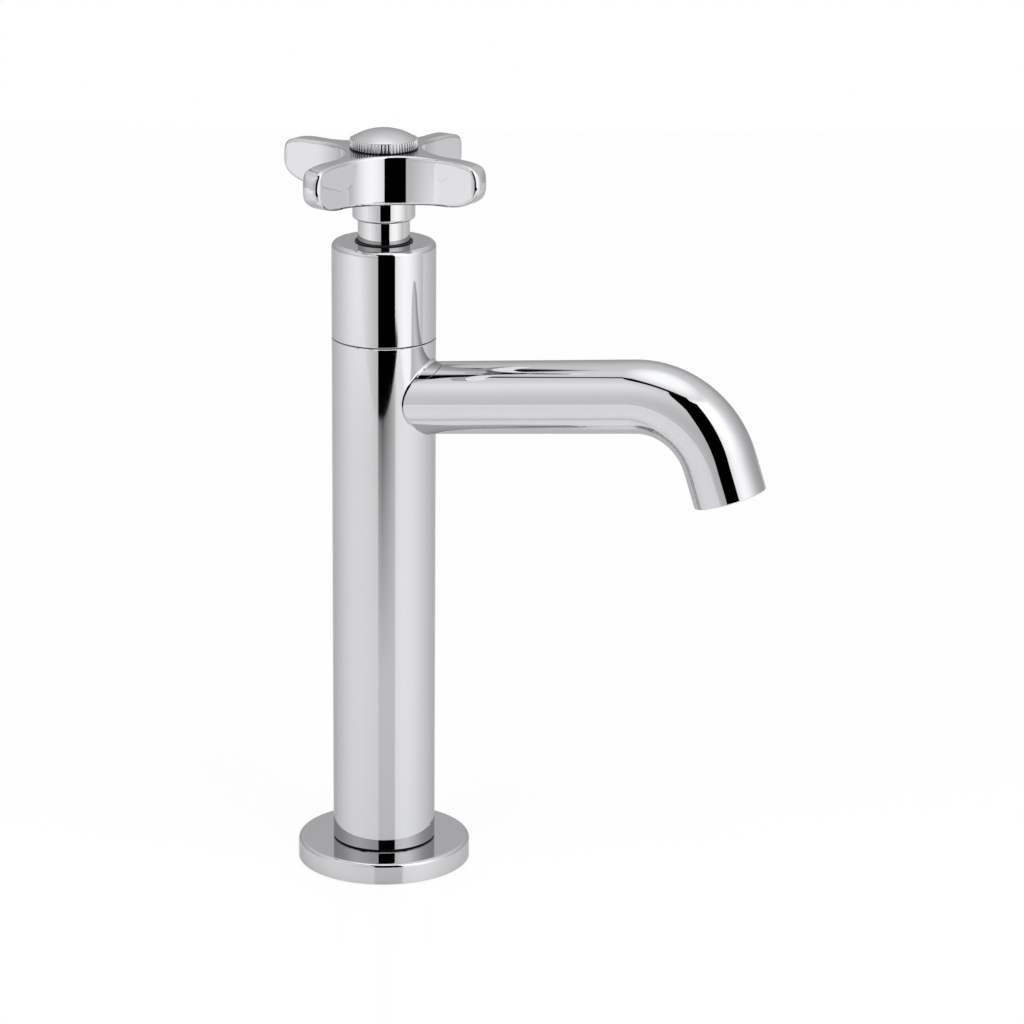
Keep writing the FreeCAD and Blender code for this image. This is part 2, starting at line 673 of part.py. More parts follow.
def handle_screw():
    """Cap-head screw down the spindle's end."""
    body = turned([
        (0, SCREW_TIP), (SCREW_R - LEAD_IN, SCREW_TIP), (SCREW_R, SCREW_TIP + LEAD_IN),
        (SCREW_R, SCREW_SEAT_Z), (SCREW_HEAD_R, SCREW_SEAT_Z),
        (SCREW_HEAD_R, SCREW_HEAD_TOP - LEAD_IN), (SCREW_HEAD_R - LEAD_IN, SCREW_HEAD_TOP),
        (0, SCREW_HEAD_TOP)])
    return body.cut(hex_prism(SCREW_KEY, SCREW_HEAD_TOP - SCREW_KEY_DEPTH, SCREW_HEAD_TOP + OVERRUN))


def cap_blank():
    """Turned cap: domed top, rim and hollow skirt."""
    rim_bottom = HUB_TOP + CAP_GASKET_T
    dome_r = CAP_R - CAP_SHOULDER
    rise = CAP_TOP - CAP_RIM_TOP
    sphere_r = (dome_r ** 2 + rise ** 2) / (2 * rise)
    half = math.asin(dome_r / sphere_r) / 2
    middle = V(sphere_r * math.sin(half), 0, CAP_TOP - sphere_r * (1 - math.cos(half)))
    corners = [
        V(0, 0, CAP_TOP - 2 * CAP_WALL),
        V(CAP_SKIRT_R - CAP_WALL, 0, CAP_TOP - 2 * CAP_WALL - CAP_HOLLOW),
        V(CAP_SKIRT_R - CAP_WALL, 0, CAP_SKIRT_BOTTOM), V(CAP_SKIRT_R, 0, CAP_SKIRT_BOTTOM),
        V(CAP_SKIRT_R, 0, rim_bottom), V(CAP_R - CAP_EDGE, 0, rim_bottom),
        V(CAP_R, 0, rim_bottom + CAP_EDGE), V(CAP_R, 0, CAP_RIM_TOP - CAP_EDGE),
        V(dome_r, 0, CAP_RIM_TOP)]
    edges = [Part.LineSegment(a, b).toShape() for a, b in zip(corners, corners[1:])]
    edges.append(Part.Arc(corners[-1], middle, V(0, 0, CAP_TOP)).toShape())
    edges.append(Part.LineSegment(V(0, 0, CAP_TOP), corners[0]).toShape())
    return Part.Face(Part.Wire(edges)).revolve(V(0, 0, 0), V(0, 0, 1), 360)


def index_cap():
    """Domed cap with a ribbed rim, pushed into the hub."""
    cuts = []
    reach = CAP_R + RIB_CUT_OUT
    for i in range(CAP_RIBS):
        angle = 2 * math.pi * i / CAP_RIBS
        cuts.append(rod(RIB_CUT_R, HUB_TOP, CAP_RIM_TOP - RIB_TOP_GAP,
                        reach * math.cos(angle), reach * math.sin(angle)))
    groove = ring(CAP_SKIRT_R - 2 * CAP_RING_WIRE + CAP_GROOVE_PLAY, CAP_SKIRT_R + OVERRUN,
                  cap_ring_z() - CAP_GROOVE_HALF, cap_ring_z() + CAP_GROOVE_HALF)
    return cap_blank().cut(cuts + [groove])


def cap_ring_z():
    """Height of the cap's retaining ring."""
    return CAP_SKIRT_BOTTOM + CAP_RING_RISE


def cap_gasket():
    """Black washer between the hub and the cap's rim."""
    return ring(CAP_POCKET_R, CAP_GASKET_R, HUB_TOP, HUB_TOP + CAP_GASKET_T)


def cap_o_ring():
    """Ring that grips the cap's skirt in the hub."""
    return o_ring(CAP_POCKET_R - CAP_RING_WIRE, CAP_RING_WIRE, cap_ring_z())


# ---- aerator, modelled upright from the mouth inwards ----

def at_mouth(shape):
    """Put an upright aerator part in the spout's mouth."""
    _, _, _, _, bend_end, out = spout_frame()
    mouth = bend_end + out * SPOUT_DROP
    shape.Placement = FreeCAD.Placement(mouth, FreeCAD.Rotation(V(0, 0, 1), out * -1.0))
    return shape


def aerator_housing():
    """Threaded sleeve with a lip at the mouth and four key notches."""
    body = turned([
        (AERATOR_LIP_R, AERATOR_INSET), (AERATOR_R, AERATOR_INSET), (AERATOR_R, AERATOR_TOP),
        (AERATOR_BORE_R, AERATOR_TOP), (AERATOR_BORE_R, AERATOR_INSET + AERATOR_LIP_T),
        (AERATOR_LIP_R, AERATOR_INSET + AERATOR_LIP_T)])
    notches = []
    corner = V(AERATOR_LIP_R + NOTCH_WALL, -NOTCH_W / 2, AERATOR_INSET - OVERRUN)
    for angle in NOTCH_ANGLES:
        notch = Part.makeBox(NOTCH_L, NOTCH_W, NOTCH_DEPTH + OVERRUN, corner)
        notch.rotate(V(0, 0, 0), V(0, 0, 1), angle)
        notches.append(notch)
    return at_mouth(body.cut(notches))


def aerator_screen():
    """Honeycomb that straightens the water."""
    bottom = AERATOR_INSET + AERATOR_LIP_T
    disc = rod(AERATOR_BORE_R, bottom, bottom + SCREEN_T)
    holes = []
    steps = range(-SCREEN_ROWS, SCREEN_ROWS + 1)
    for row in steps:
        for column in steps:
            x = SCREEN_PITCH * (column + 0.5 * (row % 2))
            y = SCREEN_PITCH * math.sqrt(3.0) / 2.0 * row
            if math.hypot(x, y) < AERATOR_LIP_R - SCREEN_HOLE:
                hole = hex_prism(2 * SCREEN_HOLE, bottom - OVERRUN, bottom + SCREEN_T + OVERRUN)
                hole.rotate(V(0, 0, 0), V(0, 0, 1), 30.0)
                hole.translate(V(x, y, 0))
                holes.append(hole)
    return at_mouth(disc.cut(holes))


def aerator_jet_plate():
    """Plate whose small holes break the flow into jets."""
    plate = rod(AERATOR_BORE_R, JET_BOTTOM, JET_BOTTOM + JET_T)
    holes = []
    for i in range(JET_HOLES):
        angle = 2 * math.pi * i / JET_HOLES
        holes.append(rod(JET_HOLE_R, JET_BOTTOM, JET_BOTTOM + JET_T,
                         JET_CIRCLE_R * math.cos(angle), JET_CIRCLE_R * math.sin(angle)))
    return at_mouth(plate.cut(holes))


def aerator_seal():
    """Washer between the aerator and the seat in the spout."""
    return at_mouth(ring(AERATOR_LIP_R, AERATOR_R, AERATOR_TOP, OUTLET_SEAT_DEPTH))


PIECES = (
    base_flange, deck_gasket, foot_ring, base_insert, column_body, riser_pipe, riser_o_rings,
    valve_block, spout_tube, bonnet_sleeve, stem_guide_ring,
    seat_seal, fixed_disc, moving_disc, cartridge_body, cartridge_o_ring,
    spindle, spindle_o_rings, spindle_clip,
    stem_sleeve, handle_collar, cross_handle, spline_insert, handle_screw, index_cap, cap_gasket,
    cap_o_ring,
    aerator_housing, aerator_screen, aerator_jet_plate, aerator_seal)

os.makedirs("parts", exist_ok=True)
for piece in PIECES:
    shape = piece()
    shape.exportStep("parts/%s.step" % piece.__name__)
    print("%-20s solids %d valid %s volume %.1f" % (
        piece.__name__, len(shape.Solids), shape.isValid(), shape.Volume))
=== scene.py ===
"""Deck-mounted tap with a cross handle: the finished pieces, their materials, the studio and the camera.

Sizes are in metres and angles in radians, unless a comment says otherwise.  The origin is on the
column's axis in the plane of the deck, +Z is up and +X is along the spout.  The tap is shown closed.
"""
import json
import math

import bmesh
import bpy
import numpy as np
from bpy.props import FloatProperty, FloatVectorProperty, IntProperty, PointerProperty
from mathutils import Matrix, Vector


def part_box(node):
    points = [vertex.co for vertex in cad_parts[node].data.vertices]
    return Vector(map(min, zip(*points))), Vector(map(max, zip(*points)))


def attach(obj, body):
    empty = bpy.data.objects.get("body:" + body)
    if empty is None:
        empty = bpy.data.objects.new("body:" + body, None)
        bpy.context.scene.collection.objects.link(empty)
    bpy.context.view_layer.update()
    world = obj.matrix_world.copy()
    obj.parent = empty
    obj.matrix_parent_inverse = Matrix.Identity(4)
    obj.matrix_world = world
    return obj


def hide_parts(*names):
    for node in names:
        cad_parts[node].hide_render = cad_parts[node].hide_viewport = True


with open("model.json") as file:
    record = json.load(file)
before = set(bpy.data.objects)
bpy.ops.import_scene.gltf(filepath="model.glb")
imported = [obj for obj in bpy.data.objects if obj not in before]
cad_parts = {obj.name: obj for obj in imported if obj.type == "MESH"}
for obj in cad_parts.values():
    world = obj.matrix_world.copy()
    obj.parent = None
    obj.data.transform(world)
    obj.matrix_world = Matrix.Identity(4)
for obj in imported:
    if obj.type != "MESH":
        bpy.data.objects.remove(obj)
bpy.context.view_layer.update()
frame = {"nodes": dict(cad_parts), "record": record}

bl_info = {
    "name": "Cross handle tap",
    "version": (1, 0, 0),
    "blender": (4, 5, 0),
    "location": "3D View > Sidebar > Tap",
    "description": "Builds the chrome pieces, the finishes and the studio of a cross handle tap",
    "category": "Object",
}

MM = 0.001
RIGHT_ANGLE = math.pi / 2
SEGMENTS = 192
ARC_STEP = math.radians(9.0)
BEND_STEP = math.radians(2.0)
CURVE_POINTS = 600
DOME_RINGS = 24

# Laying of the handle's mesh onto its form: rounds, longest step, and distance that may be left; the
# mesh stays as it is inside this share of the hub's flat radius
FIT_ROUNDS = 5
FIT_STEP = 0.4 * MM
FIT_LEFT = 0.05 * MM
HUB_SHARE = 0.8

# Nodes that keep their construction mesh, by finish
KEPT_NODES = {
    "chrome_plate": ("column_body",),
    "brass_turned": ("base_insert", "valve_block", "cartridge_body", "spindle"),
    "steel_drawn": ("riser_pipe", "spindle_clip", "handle_screw"),
    "rubber_black": ("deck_gasket", "foot_ring", "riser_o_rings", "seat_seal", "cartridge_o_ring",
                     "spindle_o_rings", "cap_o_ring", "aerator_seal"),
    "plastic_black": ("stem_guide_ring", "spline_insert"),
    "plastic_grey": ("aerator_jet_plate",),
    "ceramic_white": ("fixed_disc", "moving_disc"),
}

# Finishes: colour, roughness or the property that holds it, smudge, tone, scale of the marks, metallic,
# bump, pitch of the turning lines, and specular level
FINISHES = {
    "chrome_plate": ("chrome", "chrome_rough", 0.012, 0.03, 28.0, 1.0, 0.0, None, 0.5),
    "chrome_handle_painted_glow": ("chrome", "chrome_rough", 0.012, 0.03, 28.0, 1.0, 0.0, None, 0.5),
    "chrome_satin": ("chrome", "satin_rough", 0.08, 0.12, 160.0, 1.0, 0.15, None, 0.5),
    "brass_turned": ("brass", 0.26, 0.12, 0.14, 90.0, 1.0, 0.35, 0.3 * MM, 0.5),
    "steel_drawn": ("steel", 0.3, 0.1, 0.1, 120.0, 1.0, 0.2, 0.2 * MM, 0.5),
    "rubber_black": ("rubber", 0.55, 0.2, 0.5, 220.0, 0.0, 0.3, None, 0.12),
    "plastic_black": ("black_plastic", 0.42, 0.12, 0.3, 260.0, 0.0, 0.25, None, 0.15),
    "plastic_grey": ("grey_plastic", 0.4, 0.12, 0.06, 260.0, 0.0, 0.2, None, 0.5),
    "ceramic_white": ("ceramic", 0.1, 0.06, 0.03, 200.0, 0.0, 0.0, None, 0.5),
}

# Side view of an arm: millimetres back from the tip, and the share of the height between the hub's
# face and the tip that the arm has lost there
ARM_UNDERSIDE = ((18.6, 0.06), (7.7, 0.17), (2.7, 0.43), (0.5, 0.72))
ARM_TOPSIDE = ((0.5, 0.58), (2.2, 0.26), (5.0, 0.12), (16.6, 0.04))

# Corners of the table top: degrees of azimuth, 0 towards the camera, and metres from the column
TABLE_CORNERS = ((-72.2, 1.6), (34.0, 0.75), (95.0, 0.613), (98.0, 1.6), (140.0, 1.6), (-140.0, 1.6))

# Softboxes, in degrees of azimuth: the middle, and how far the light reaches to its left and right
LEFT_SOFTBOX = (-62.0, 33.0, 42.0)
RIGHT_SOFTBOX = (50.0, 36.0, 38.0)

# Elevations in degrees between which a level of the studio changes
BACKDROP_RISE = (0.0, 60.0)
LEFT_FOOT = (-14.0, -11.0)
LEFT_TOP = (38.0, 56.0)
BEHIND_FOOT = (-8.0, -3.0)
OVERHEAD_FALL = (54.0, 80.0)
OVERHEAD_EDGE = (56.0, 64.0)
CARD_LEANS = (30.0, 50.0)

# Lower edge of the right softbox, in degrees: azimuth where it is level with its limits, slope, limits
EDGE_AZIMUTH = 27.0
EDGE_SLOPE = 0.045
EDGE_LIMITS = (-14.45, -14.25)

# Bands in degrees of azimuth: middle, half width and softness
EDGE_BAND = (35.0, 12.0, 2.0)
FRAME_BAND = (-78.0, 90.0, 2.0)

# Overhead softbox's frame, in degrees: where it narrows and its half widths on both sides of that,
# where it starts to bend down, and how fast it does
FRAME_NARROWS = (-88.0, -72.0)
FRAME_HALVES = (0.75, 2.9)
FRAME_BENDS = -130.0
FRAME_BEND = 0.0175


# ---- properties ----

def mm(name, description, value):
    """A length whose default is given in millimetres."""
    return FloatProperty(name=name, description=description, default=value * MM, min=0.0, precision=5,
                         unit="LENGTH")


def degrees(name, description, value):
    """An angle whose default is given in degrees."""
    return FloatProperty(name=name, description=description, default=math.radians(value),
                         unit="ROTATION", subtype="ANGLE")


def share(name, description, value):
    """A plain number from 0 to 1."""
    return FloatProperty(name=name, description=description, default=value, min=0.0, max=1.0,
                         subtype="FACTOR")


def light(name, description, value):
    """A light level, where 1 is white."""
    return FloatProperty(name=name, description=description, default=value, min=0.0)


def tint(name, description, value):
    """A linear colour."""
    return FloatVectorProperty(name=name, description=description, default=value, size=3, min=0.0,
                               max=1.0, subtype="COLOR")


class TapSizes(bpy.types.PropertyGroup):
    """Sizes of the pieces that the frame's boxes don't give."""
    flange_edge: mm("Flange edge", "Radius of the flange's upper edge", 1.4)
    flange_bore: mm("Flange bore", "Radius of the hole through the flange", 14.0)
    bonnet_edge: mm("Bonnet edge", "Radius of the bonnet's upper edge", 1.8)
    bonnet_hole: mm("Bonnet hole", "Radius of the hole that the stem comes out of", 9.5)
    bonnet_roof: mm("Bonnet roof", "Thickness of the bonnet's top wall", 4.4)
    bonnet_wall: mm("Bonnet wall", "Thickness of the bonnet's side wall", 3.0)
    collar_edge: mm("Collar edge", "Radius of the collar's lower edge", 1.2)
    collar_spigot: mm("Collar spigot", "Radius of the collar's spigot in the hub", 9.0)
    handle_turn: degrees("Handle turn", "Turn of the closed handle off the spout's line", -12.2)
    arm_length: mm("Arm length", "Distance of the arms' tips from the axis", 40.6)
    arm_half_width: mm("Arm half width", "Half of an arm's width at its tip", 3.6)
    arm_flare: degrees("Arm flare", "How far an arm's side leans out towards the tip", 2.0)
    web_distance: mm("Web distance", "Distance of the web's middle from the axis", 13.3)
    tip_corner: mm("Tip corner", "Radius of a tip's corner seen from above", 3.3)
    tip_height: mm("Tip height", "Height of the arms' tips", 242.6)
    hub_flat: mm("Hub flat", "Radius of the flat faces of the hub", 12.0)
    handle_edge: mm("Handle edge", "Radius that eases the handle's edges", 1.1)
    handle_grain: mm("Handle grain", "Size of the handle's mesh faces", 0.45)
    guide_radius: mm("Guide lip radius", "Outer radius of the guide ring's lip", 9.75)
    guide_lip: mm("Guide lip", "Height of the guide ring's lip above the bonnet", 0.35)
    seal_line: mm("Seal line", "Thickness of the seal seen under the cap", 0.18)
    stem_wall: mm("Stem wall", "Thickness of the stem's tube", 1.0)
    fine_edge: mm("Fine edge", "Radius that eases every other edge", 0.15)
    spout_height: mm("Spout height", "Height of the spout's line at the column's axis", 164.3)
    spout_rise: degrees("Spout rise", "Slope of the spout's straight run", 6.85)
    spout_start: mm("Spout start", "Distance along the line where the tube starts", 12.4)
    spout_run: mm("Spout run", "Distance along the line where the bend starts", 91.6)
    spout_bend: mm("Bend radius", "Radius of the bend's centre line", 27.9)
    spout_turn: degrees("Bend angle", "Angle that the bend turns the spout down by", 78.3)
    spout_drop: mm("Spout drop", "Straight length after the bend", 12.3)
    spout_radius: mm("Spout radius", "Outer radius of the spout's tube", 12.2)
    spout_bore: mm("Spout bore", "Inner radius of the spout's tube", 10.6)
    seat_radius: mm("Outlet seat", "Radius of the aerator's seat in the mouth", 10.75)
    seat_depth: mm("Seat depth", "Depth of the aerator's seat", 9.8)
    lip_edge: mm("Mouth edge", "Radius of the mouth's two edges", 0.35)
    cap_dome_drop: mm("Dome drop", "Height of the cap's dome above its rim", 3.2)
    cap_wall: mm("Cap wall", "Thickness of the cap's wall", 1.5)
    cap_skirt: mm("Cap skirt", "Radius of the cap's skirt", 7.7)
    rib_count: IntProperty(name="Ribs", description="Ribs round the cap's rim", default=60, min=12, max=120)
    rib_radius: mm("Rib radius", "Radius of a rib's round face", 0.4)
    cell_pitch: mm("Cell pitch", "Distance between the honeycomb's cells", 2.2)
    cell_wall: mm("Cell wall", "Half of the honeycomb's wall", 0.16)
    stud_thread: mm("Stud thread pitch", "Pitch of the fixing stud's thread", 1.25)
    hose_thread: mm("Hose thread pitch", "Pitch of the supply hose's thread", 1.0)
    thread_depth: mm("Thread depth", "Height of a thread's ridge", 0.22)


class TapFinish(bpy.types.PropertyGroup):
    """Colours and roughness of the finishes."""
    chrome: tint("Chrome", "Chrome plate seen straight on", (0.548, 0.55, 0.56))
    chrome_edge: tint("Chrome edge", "Tint of chrome seen along its surface", (0.75, 0.75, 0.76))
    chrome_rough: share("Chrome roughness", "Roughness of polished chrome", 0.03)
    satin_rough: share("Satin roughness", "Roughness of the cap's satin dome", 0.3)
    brass: tint("Brass", "Machined brass", (0.74, 0.58, 0.3))
    steel: tint("Steel", "Drawn stainless steel", (0.62, 0.62, 0.63))
    rubber: tint("Rubber", "Black rubber", (0.012, 0.012, 0.012))
    black_plastic: tint("Black plastic", "Moulded black plastic", (0.014, 0.014, 0.015))
    grey_plastic: tint("Grey plastic", "Moulded grey plastic", (0.55, 0.56, 0.57))
    ceramic: tint("Ceramic", "Lapped white ceramic", (0.88, 0.87, 0.84))


class TapStudio(bpy.types.PropertyGroup):
    """Camera, lights and floor.  Azimuths are 0 towards the camera and negative on its left."""
    camera_place: FloatVectorProperty(
        name="Camera place", description="Camera before it is turned about the column",
        default=(0.0434, -1.3791, 0.5443), subtype="TRANSLATION", unit="LENGTH")
    camera_lens: FloatProperty(name="Lens", description="Focal length for a 36 mm wide sensor",
                               default=149.5195, unit="CAMERA")
    camera_tilt: degrees("Camera tilt", "How far the camera looks down", 16.93)
    camera_roll: degrees("Camera roll", "How far the camera leans", 0.505)
    camera_turn: degrees("Camera turn", "Turn of the camera about the column", 23.1)
    floor_front: mm("Floor front", "Distance of the table's front edge from the column", 593.0)
    # Painted shade: the table's colour behind the tap falls to this level
    floor_painted_shade_behind: share("Floor back", "Level of the table behind the tap, beside its front", 0.78)
    floor_gloss: share("Floor gloss", "How much the table mirrors the lights", 0.24)
    # The next two set where the table turns see-through towards its front, a painted shade from the dark
    # studio behind
    floor_full: mm("Floor full", "Radius within which reflections see the whole floor", 220.0)
    floor_edge: share("Floor edge", "How much of the floor's front edge reflections see", 0.2)
    floor_colour: share("Floor colour", "Paleness of the floor", 0.84)
    floor_glow: share("Floor glow", "How much of the floor is plain white to the camera", 0.92)
    backdrop_low: light("Backdrop, low", "Level of the backdrop at the horizon", 0.6)
    backdrop_high: light("Backdrop, high", "Level of the backdrop at 60 degrees", 1.05)
    left_light: light("Left light", "Level that the left softbox adds", 0.82)
    right_light: light("Right light", "Level that the right softbox adds", 1.08)
    top_low: light("Top light, edge", "Level of the overhead softbox at its edge", 1.1)
    top_high: light("Top light, middle", "Level of the overhead softbox overhead", 1.75)
    behind_light: light("Behind", "Level that the bright paper behind the tap adds", 0.2)
    card_left: degrees("Dark card, left", "Left edge of the dark gap round the camera", -11.0)
    card_right: degrees("Dark card, right", "Right edge of the dark gap round the camera", 26.5)
    card_lean: degrees("Dark card lean", "How far the left edge moves out at the top", 9.0)
    card_top: degrees("Dark card top", "Elevation of the top of the dark gap", 56.0)
    frame_height: degrees("Softbox frame", "Elevation of the overhead softbox's dark frame", 57.2)


# ---- meshes ----

def unit(x, y):
    """Direction of unit length."""
    size = math.hypot(x, y)
    return x / size, y / size


def eased(corners, closed=True):
    """Profile points (radius, height, normal) of a polygon of (radius, height, ease) corners.

    The polygon runs anticlockwise with the radius to the right and the height up, so that its normals
    point out of the metal.  Each corner becomes an arc that is tangent to both of its sides.
    """
    points = []
    count = len(corners)
    for i, (r, z, ease) in enumerate(corners):
        if not closed and i in (0, count - 1):
            side = corners[1] if i == 0 else corners[-2]
            d = unit(side[0] - r, side[1] - z) if i == 0 else unit(r - side[0], z - side[1])
            points.append((r, z, d[1], -d[0]))
            continue
        before, after = corners[i - 1], corners[(i + 1) % count]
        d1 = unit(r - before[0], z - before[1])
        d2 = unit(after[0] - r, after[1] - z)
        turn = math.atan2(d1[0] * d2[1] - d1[1] * d2[0], d1[0] * d2[0] + d1[1] * d2[1])
        back = ease * math.tan(abs(turn) / 2)
        side = math.copysign(ease, turn)
        centre = (r - d1[0] * back - d1[1] * side, z - d1[1] * back + d1[0] * side)
        start = math.atan2(-d1[0], d1[1])
        steps = max(2, math.ceil(abs(turn) / ARC_STEP))
        for k in range(steps + 1):
            angle = start + turn * k / steps
            nr, nz = math.cos(angle), math.sin(angle)
            points.append((centre[0] + side * nr, centre[1] + side * nz, nr, nz))
    return points


def shown(name, data):
    """Object of a mesh or a camera, linked into the scene."""
    piece = bpy.data.objects.new(name, data)
    bpy.context.scene.collection.objects.link(piece)
    return piece


def smooth_with(mesh, normals):
    """Shade a mesh smooth with exact normals at its vertices."""
    mesh.polygons.foreach_set("use_smooth", [True] * len(mesh.polygons))
    mesh.normals_split_custom_set_from_vertices(normals)


def woven(rings, closed):
    """Quads between neighbouring rings of vertices; a ring of one vertex is a pole."""
    faces = []
    pairs = list(zip(rings, rings[1:]))
    if closed:
        pairs.append((rings[-1], rings[0]))
    for low, high in pairs:
        for k in range(max(len(low), len(high))):
            quad = [low[k % len(low)], low[(k + 1) % len(low)],
                    high[(k + 1) % len(high)], high[k % len(high)]]
            faces.append(tuple(dict.fromkeys(quad)))
    return faces


def upright(height):
    """Place of a ring on the column's axis: origin, radial X, radial Y and axis."""
    return Vector((0, 0, height)), Vector((1, 0, 0)), Vector((0, 1, 0)), Vector((0, 0, 1))


def lathe(name, profile, place=upright, closed=True):
    """Piece turned from profile points, whose rings stand where place puts them."""
    points, normals, rings = [], [], []
    for r, z, nr, nz in profile:
        origin, across, aside, axis = place(z)
        pole = r < 1e-7
        ring = []
        for k in range(1 if pole else SEGMENTS):
            angle = 2 * math.pi * k / SEGMENTS
            out = across * math.cos(angle) + aside * math.sin(angle)
            ring.append(len(points))
            points.append(origin + out * r)
            normals.append(axis * (1.0 if nz > 0 else -1.0) if pole else out * nr + axis * nz)
        rings.append(ring)
    mesh = bpy.data.meshes.new(name)
    mesh.from_pydata(points, [], woven(rings, closed))
    mesh.update()
    smooth_with(mesh, [normal.normalized() for normal in normals])
    return shown(name, mesh)


def ring_of(node):
    """Outer radius, lowest and highest height of a round node on the column's axis."""
    low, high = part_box(node)
    return high.y, low.z, high.z


def spout_end(sizes):
    """Distance of the mouth along the spout's line."""
    return sizes.spout_run + sizes.spout_bend * sizes.spout_turn + sizes.spout_drop


def spout_place(sizes, distance):
    """Place of a ring at a distance along the spout's line: straight run, bend, straight drop."""
    rise = sizes.spout_rise
    along = Vector((math.cos(rise), 0, math.sin(rise)))
    above = Vector((-math.sin(rise), 0, math.cos(rise)))
    aside = Vector((0, -1, 0))
    start = Vector((0, 0, sizes.spout_height))
    arc = sizes.spout_bend * sizes.spout_turn
    if distance <= sizes.spout_run:
        return start + along * distance, above, aside, along
    angle = min((distance - sizes.spout_run) / sizes.spout_bend, sizes.spout_turn)
    centre = start + along * sizes.spout_run - above * sizes.spout_bend
    outward = above * math.cos(angle) + along * math.sin(angle)
    onward = along * math.cos(angle) - above * math.sin(angle)
    past = max(0.0, distance - sizes.spout_run - arc)
    return centre + outward * sizes.spout_bend + onward * past, outward, aside, onward


def mouth_matrix(sizes):
    """Turns an upright aerator part, measured inwards from the mouth, into the spout's mouth."""
    origin, outward, aside, onward = spout_place(sizes, spout_end(sizes))
    turn = Matrix((outward, -aside, -onward)).transposed().to_4x4()
    return Matrix.Translation(origin) @ turn


class HandleForm:
    """Distance to the cross handle's outer surface, and the surface's direction.

    The form is the plan's walls and a turned side view, which meet in an edge of one radius.
    """

    def __init__(self, sizes, low, high):
        """Work out the plan in the frame of one arm, and the side view as (radius, height) points."""
        self.sizes = sizes
        flare, length = sizes.arm_flare, sizes.arm_length
        slope, diagonal = math.tan(flare), math.sqrt(2.0)
        base = sizes.arm_half_width - length * slope
        grip = slope * math.sin(flare) + math.cos(flare)
        self.web_radius = ((base * diagonal - sizes.web_distance * (1 - slope))
                           / (1 - slope - grip * diagonal))
        self.web = (sizes.web_distance + self.web_radius) / diagonal
        self.flank = np.array((math.cos(flare), math.sin(flare)))
        self.foot = (self.web + self.web_radius * self.flank[1], self.web - self.web_radius * self.flank[0])
        corner_x = length + 0.5 * MM - sizes.tip_corner
        self.corner = (corner_x, base + corner_x * slope - sizes.tip_corner / math.cos(flare))
        self.profile = self.side_view(low, high, length)

    def side_view(self, low, high, length):
        """Length along the side view, then radius, height and normal at every step."""
        tip, flat = self.sizes.tip_height, self.sizes.hub_flat
        outline = [(flat, low)]
        outline += [(length - back * MM, low + lost * (tip - low)) for back, lost in ARM_UNDERSIDE]
        outline.append((length, tip))
        outline += [(length - back * MM, high - lost * (high - tip)) for back, lost in ARM_TOPSIDE]
        outline.append((flat, high))
        points = smooth_curve(np.array(outline), CURVE_POINTS)
        points = np.vstack(((0.0, low), points, (0.0, high)))
        along = np.concatenate(((0.0,), np.cumsum(np.hypot(*np.diff(points, axis=0).T))))
        slope = np.gradient(points, along, axis=0)
        slope /= np.hypot(*slope.T)[:, None]
        return along, points, np.column_stack((slope[:, 1], -slope[:, 0]))

    def plan(self, x, y):
        """Distance to the plan's outline and its direction: end of the tip, corner, web or flank."""
        start, corner_r = self.sizes.handle_turn, self.sizes.tip_corner
        turn = start + np.round((np.arctan2(y, x) - start) / RIGHT_ANGLE) * RIGHT_ANGLE
        across = x * np.cos(turn) + y * np.sin(turn)
        aside = y * np.cos(turn) - x * np.sin(turn)
        hand = np.where(aside < 0, -1.0, 1.0)
        aside = np.abs(aside)
        lean_x, lean_y = self.flank
        fx, fy = across - self.foot[0], aside - self.foot[1]
        wx, wy = self.web - across, self.web - aside
        cx, cy = across - self.corner[0], aside - self.corner[1]
        web_reach, corner_reach = np.hypot(wx, wy), np.hypot(cx, cy)
        cases = ((cx > 0) & (cy <= 0), (cx * lean_x + cy * lean_y > 0) & (cy > 0),
                 fx * lean_x + fy * lean_y < 0)
        distance = np.select(cases, (cx - corner_r, corner_reach - corner_r, self.web_radius - web_reach),
                             fy * lean_x - fx * lean_y)
        nx = np.select(cases, (np.ones_like(x), cx / corner_reach, wx / web_reach), -lean_y)
        ny = np.select(cases, (np.zeros_like(x), cy / corner_reach, wy / web_reach), lean_x) * hand
        return distance, nx * np.cos(turn) - ny * np.sin(turn), nx * np.sin(turn) + ny * np.cos(turn)

    def side(self, radius, height):
        """Distance to the side view and its direction."""
        along, points, normals = self.profile
        gap = (radius[:, None] - points[:, 0]) ** 2 + (height[:, None] - points[:, 1]) ** 2
        near = np.argmin(gap, axis=1)
        step = ((height - points[near, 1]) * normals[near, 0] - (radius - points[near, 0]) * normals[near, 1])
        spot = along[near] + step
        nr, nz = (np.interp(spot, along, normals[:, k]) for k in (0, 1))
        pr, pz = (np.interp(spot, along, points[:, k]) for k in (0, 1))
        size = np.hypot(nr, nz)
        nr, nz = nr / size, nz / size
        return (radius - pr) * nr + (height - pz) * nz, nr, nz

    def surface(self, points):
        """Distance to the rounded form and its direction."""
        x, y, z = points.T
        edge = self.sizes.handle_edge
        radius = np.hypot(x, y)
        wall, wx, wy = self.plan(x, y)
        side, nr, nz = self.side(radius, z)
        a, b = np.maximum(wall + edge, 0), np.maximum(side + edge, 0)
        reach = np.hypot(a, b)
        inside = reach < 1e-9
        a, b = np.where(inside, wall > side, a), np.where(inside, wall <= side, b)
        distance = np.where(inside, np.maximum(wall, side), reach - edge)
        normal = np.column_stack((a * wx + b * nr * x / radius, a * wy + b * nr * y / radius, b * nz))
        return distance, normal / np.linalg.norm(normal, axis=1)[:, None]


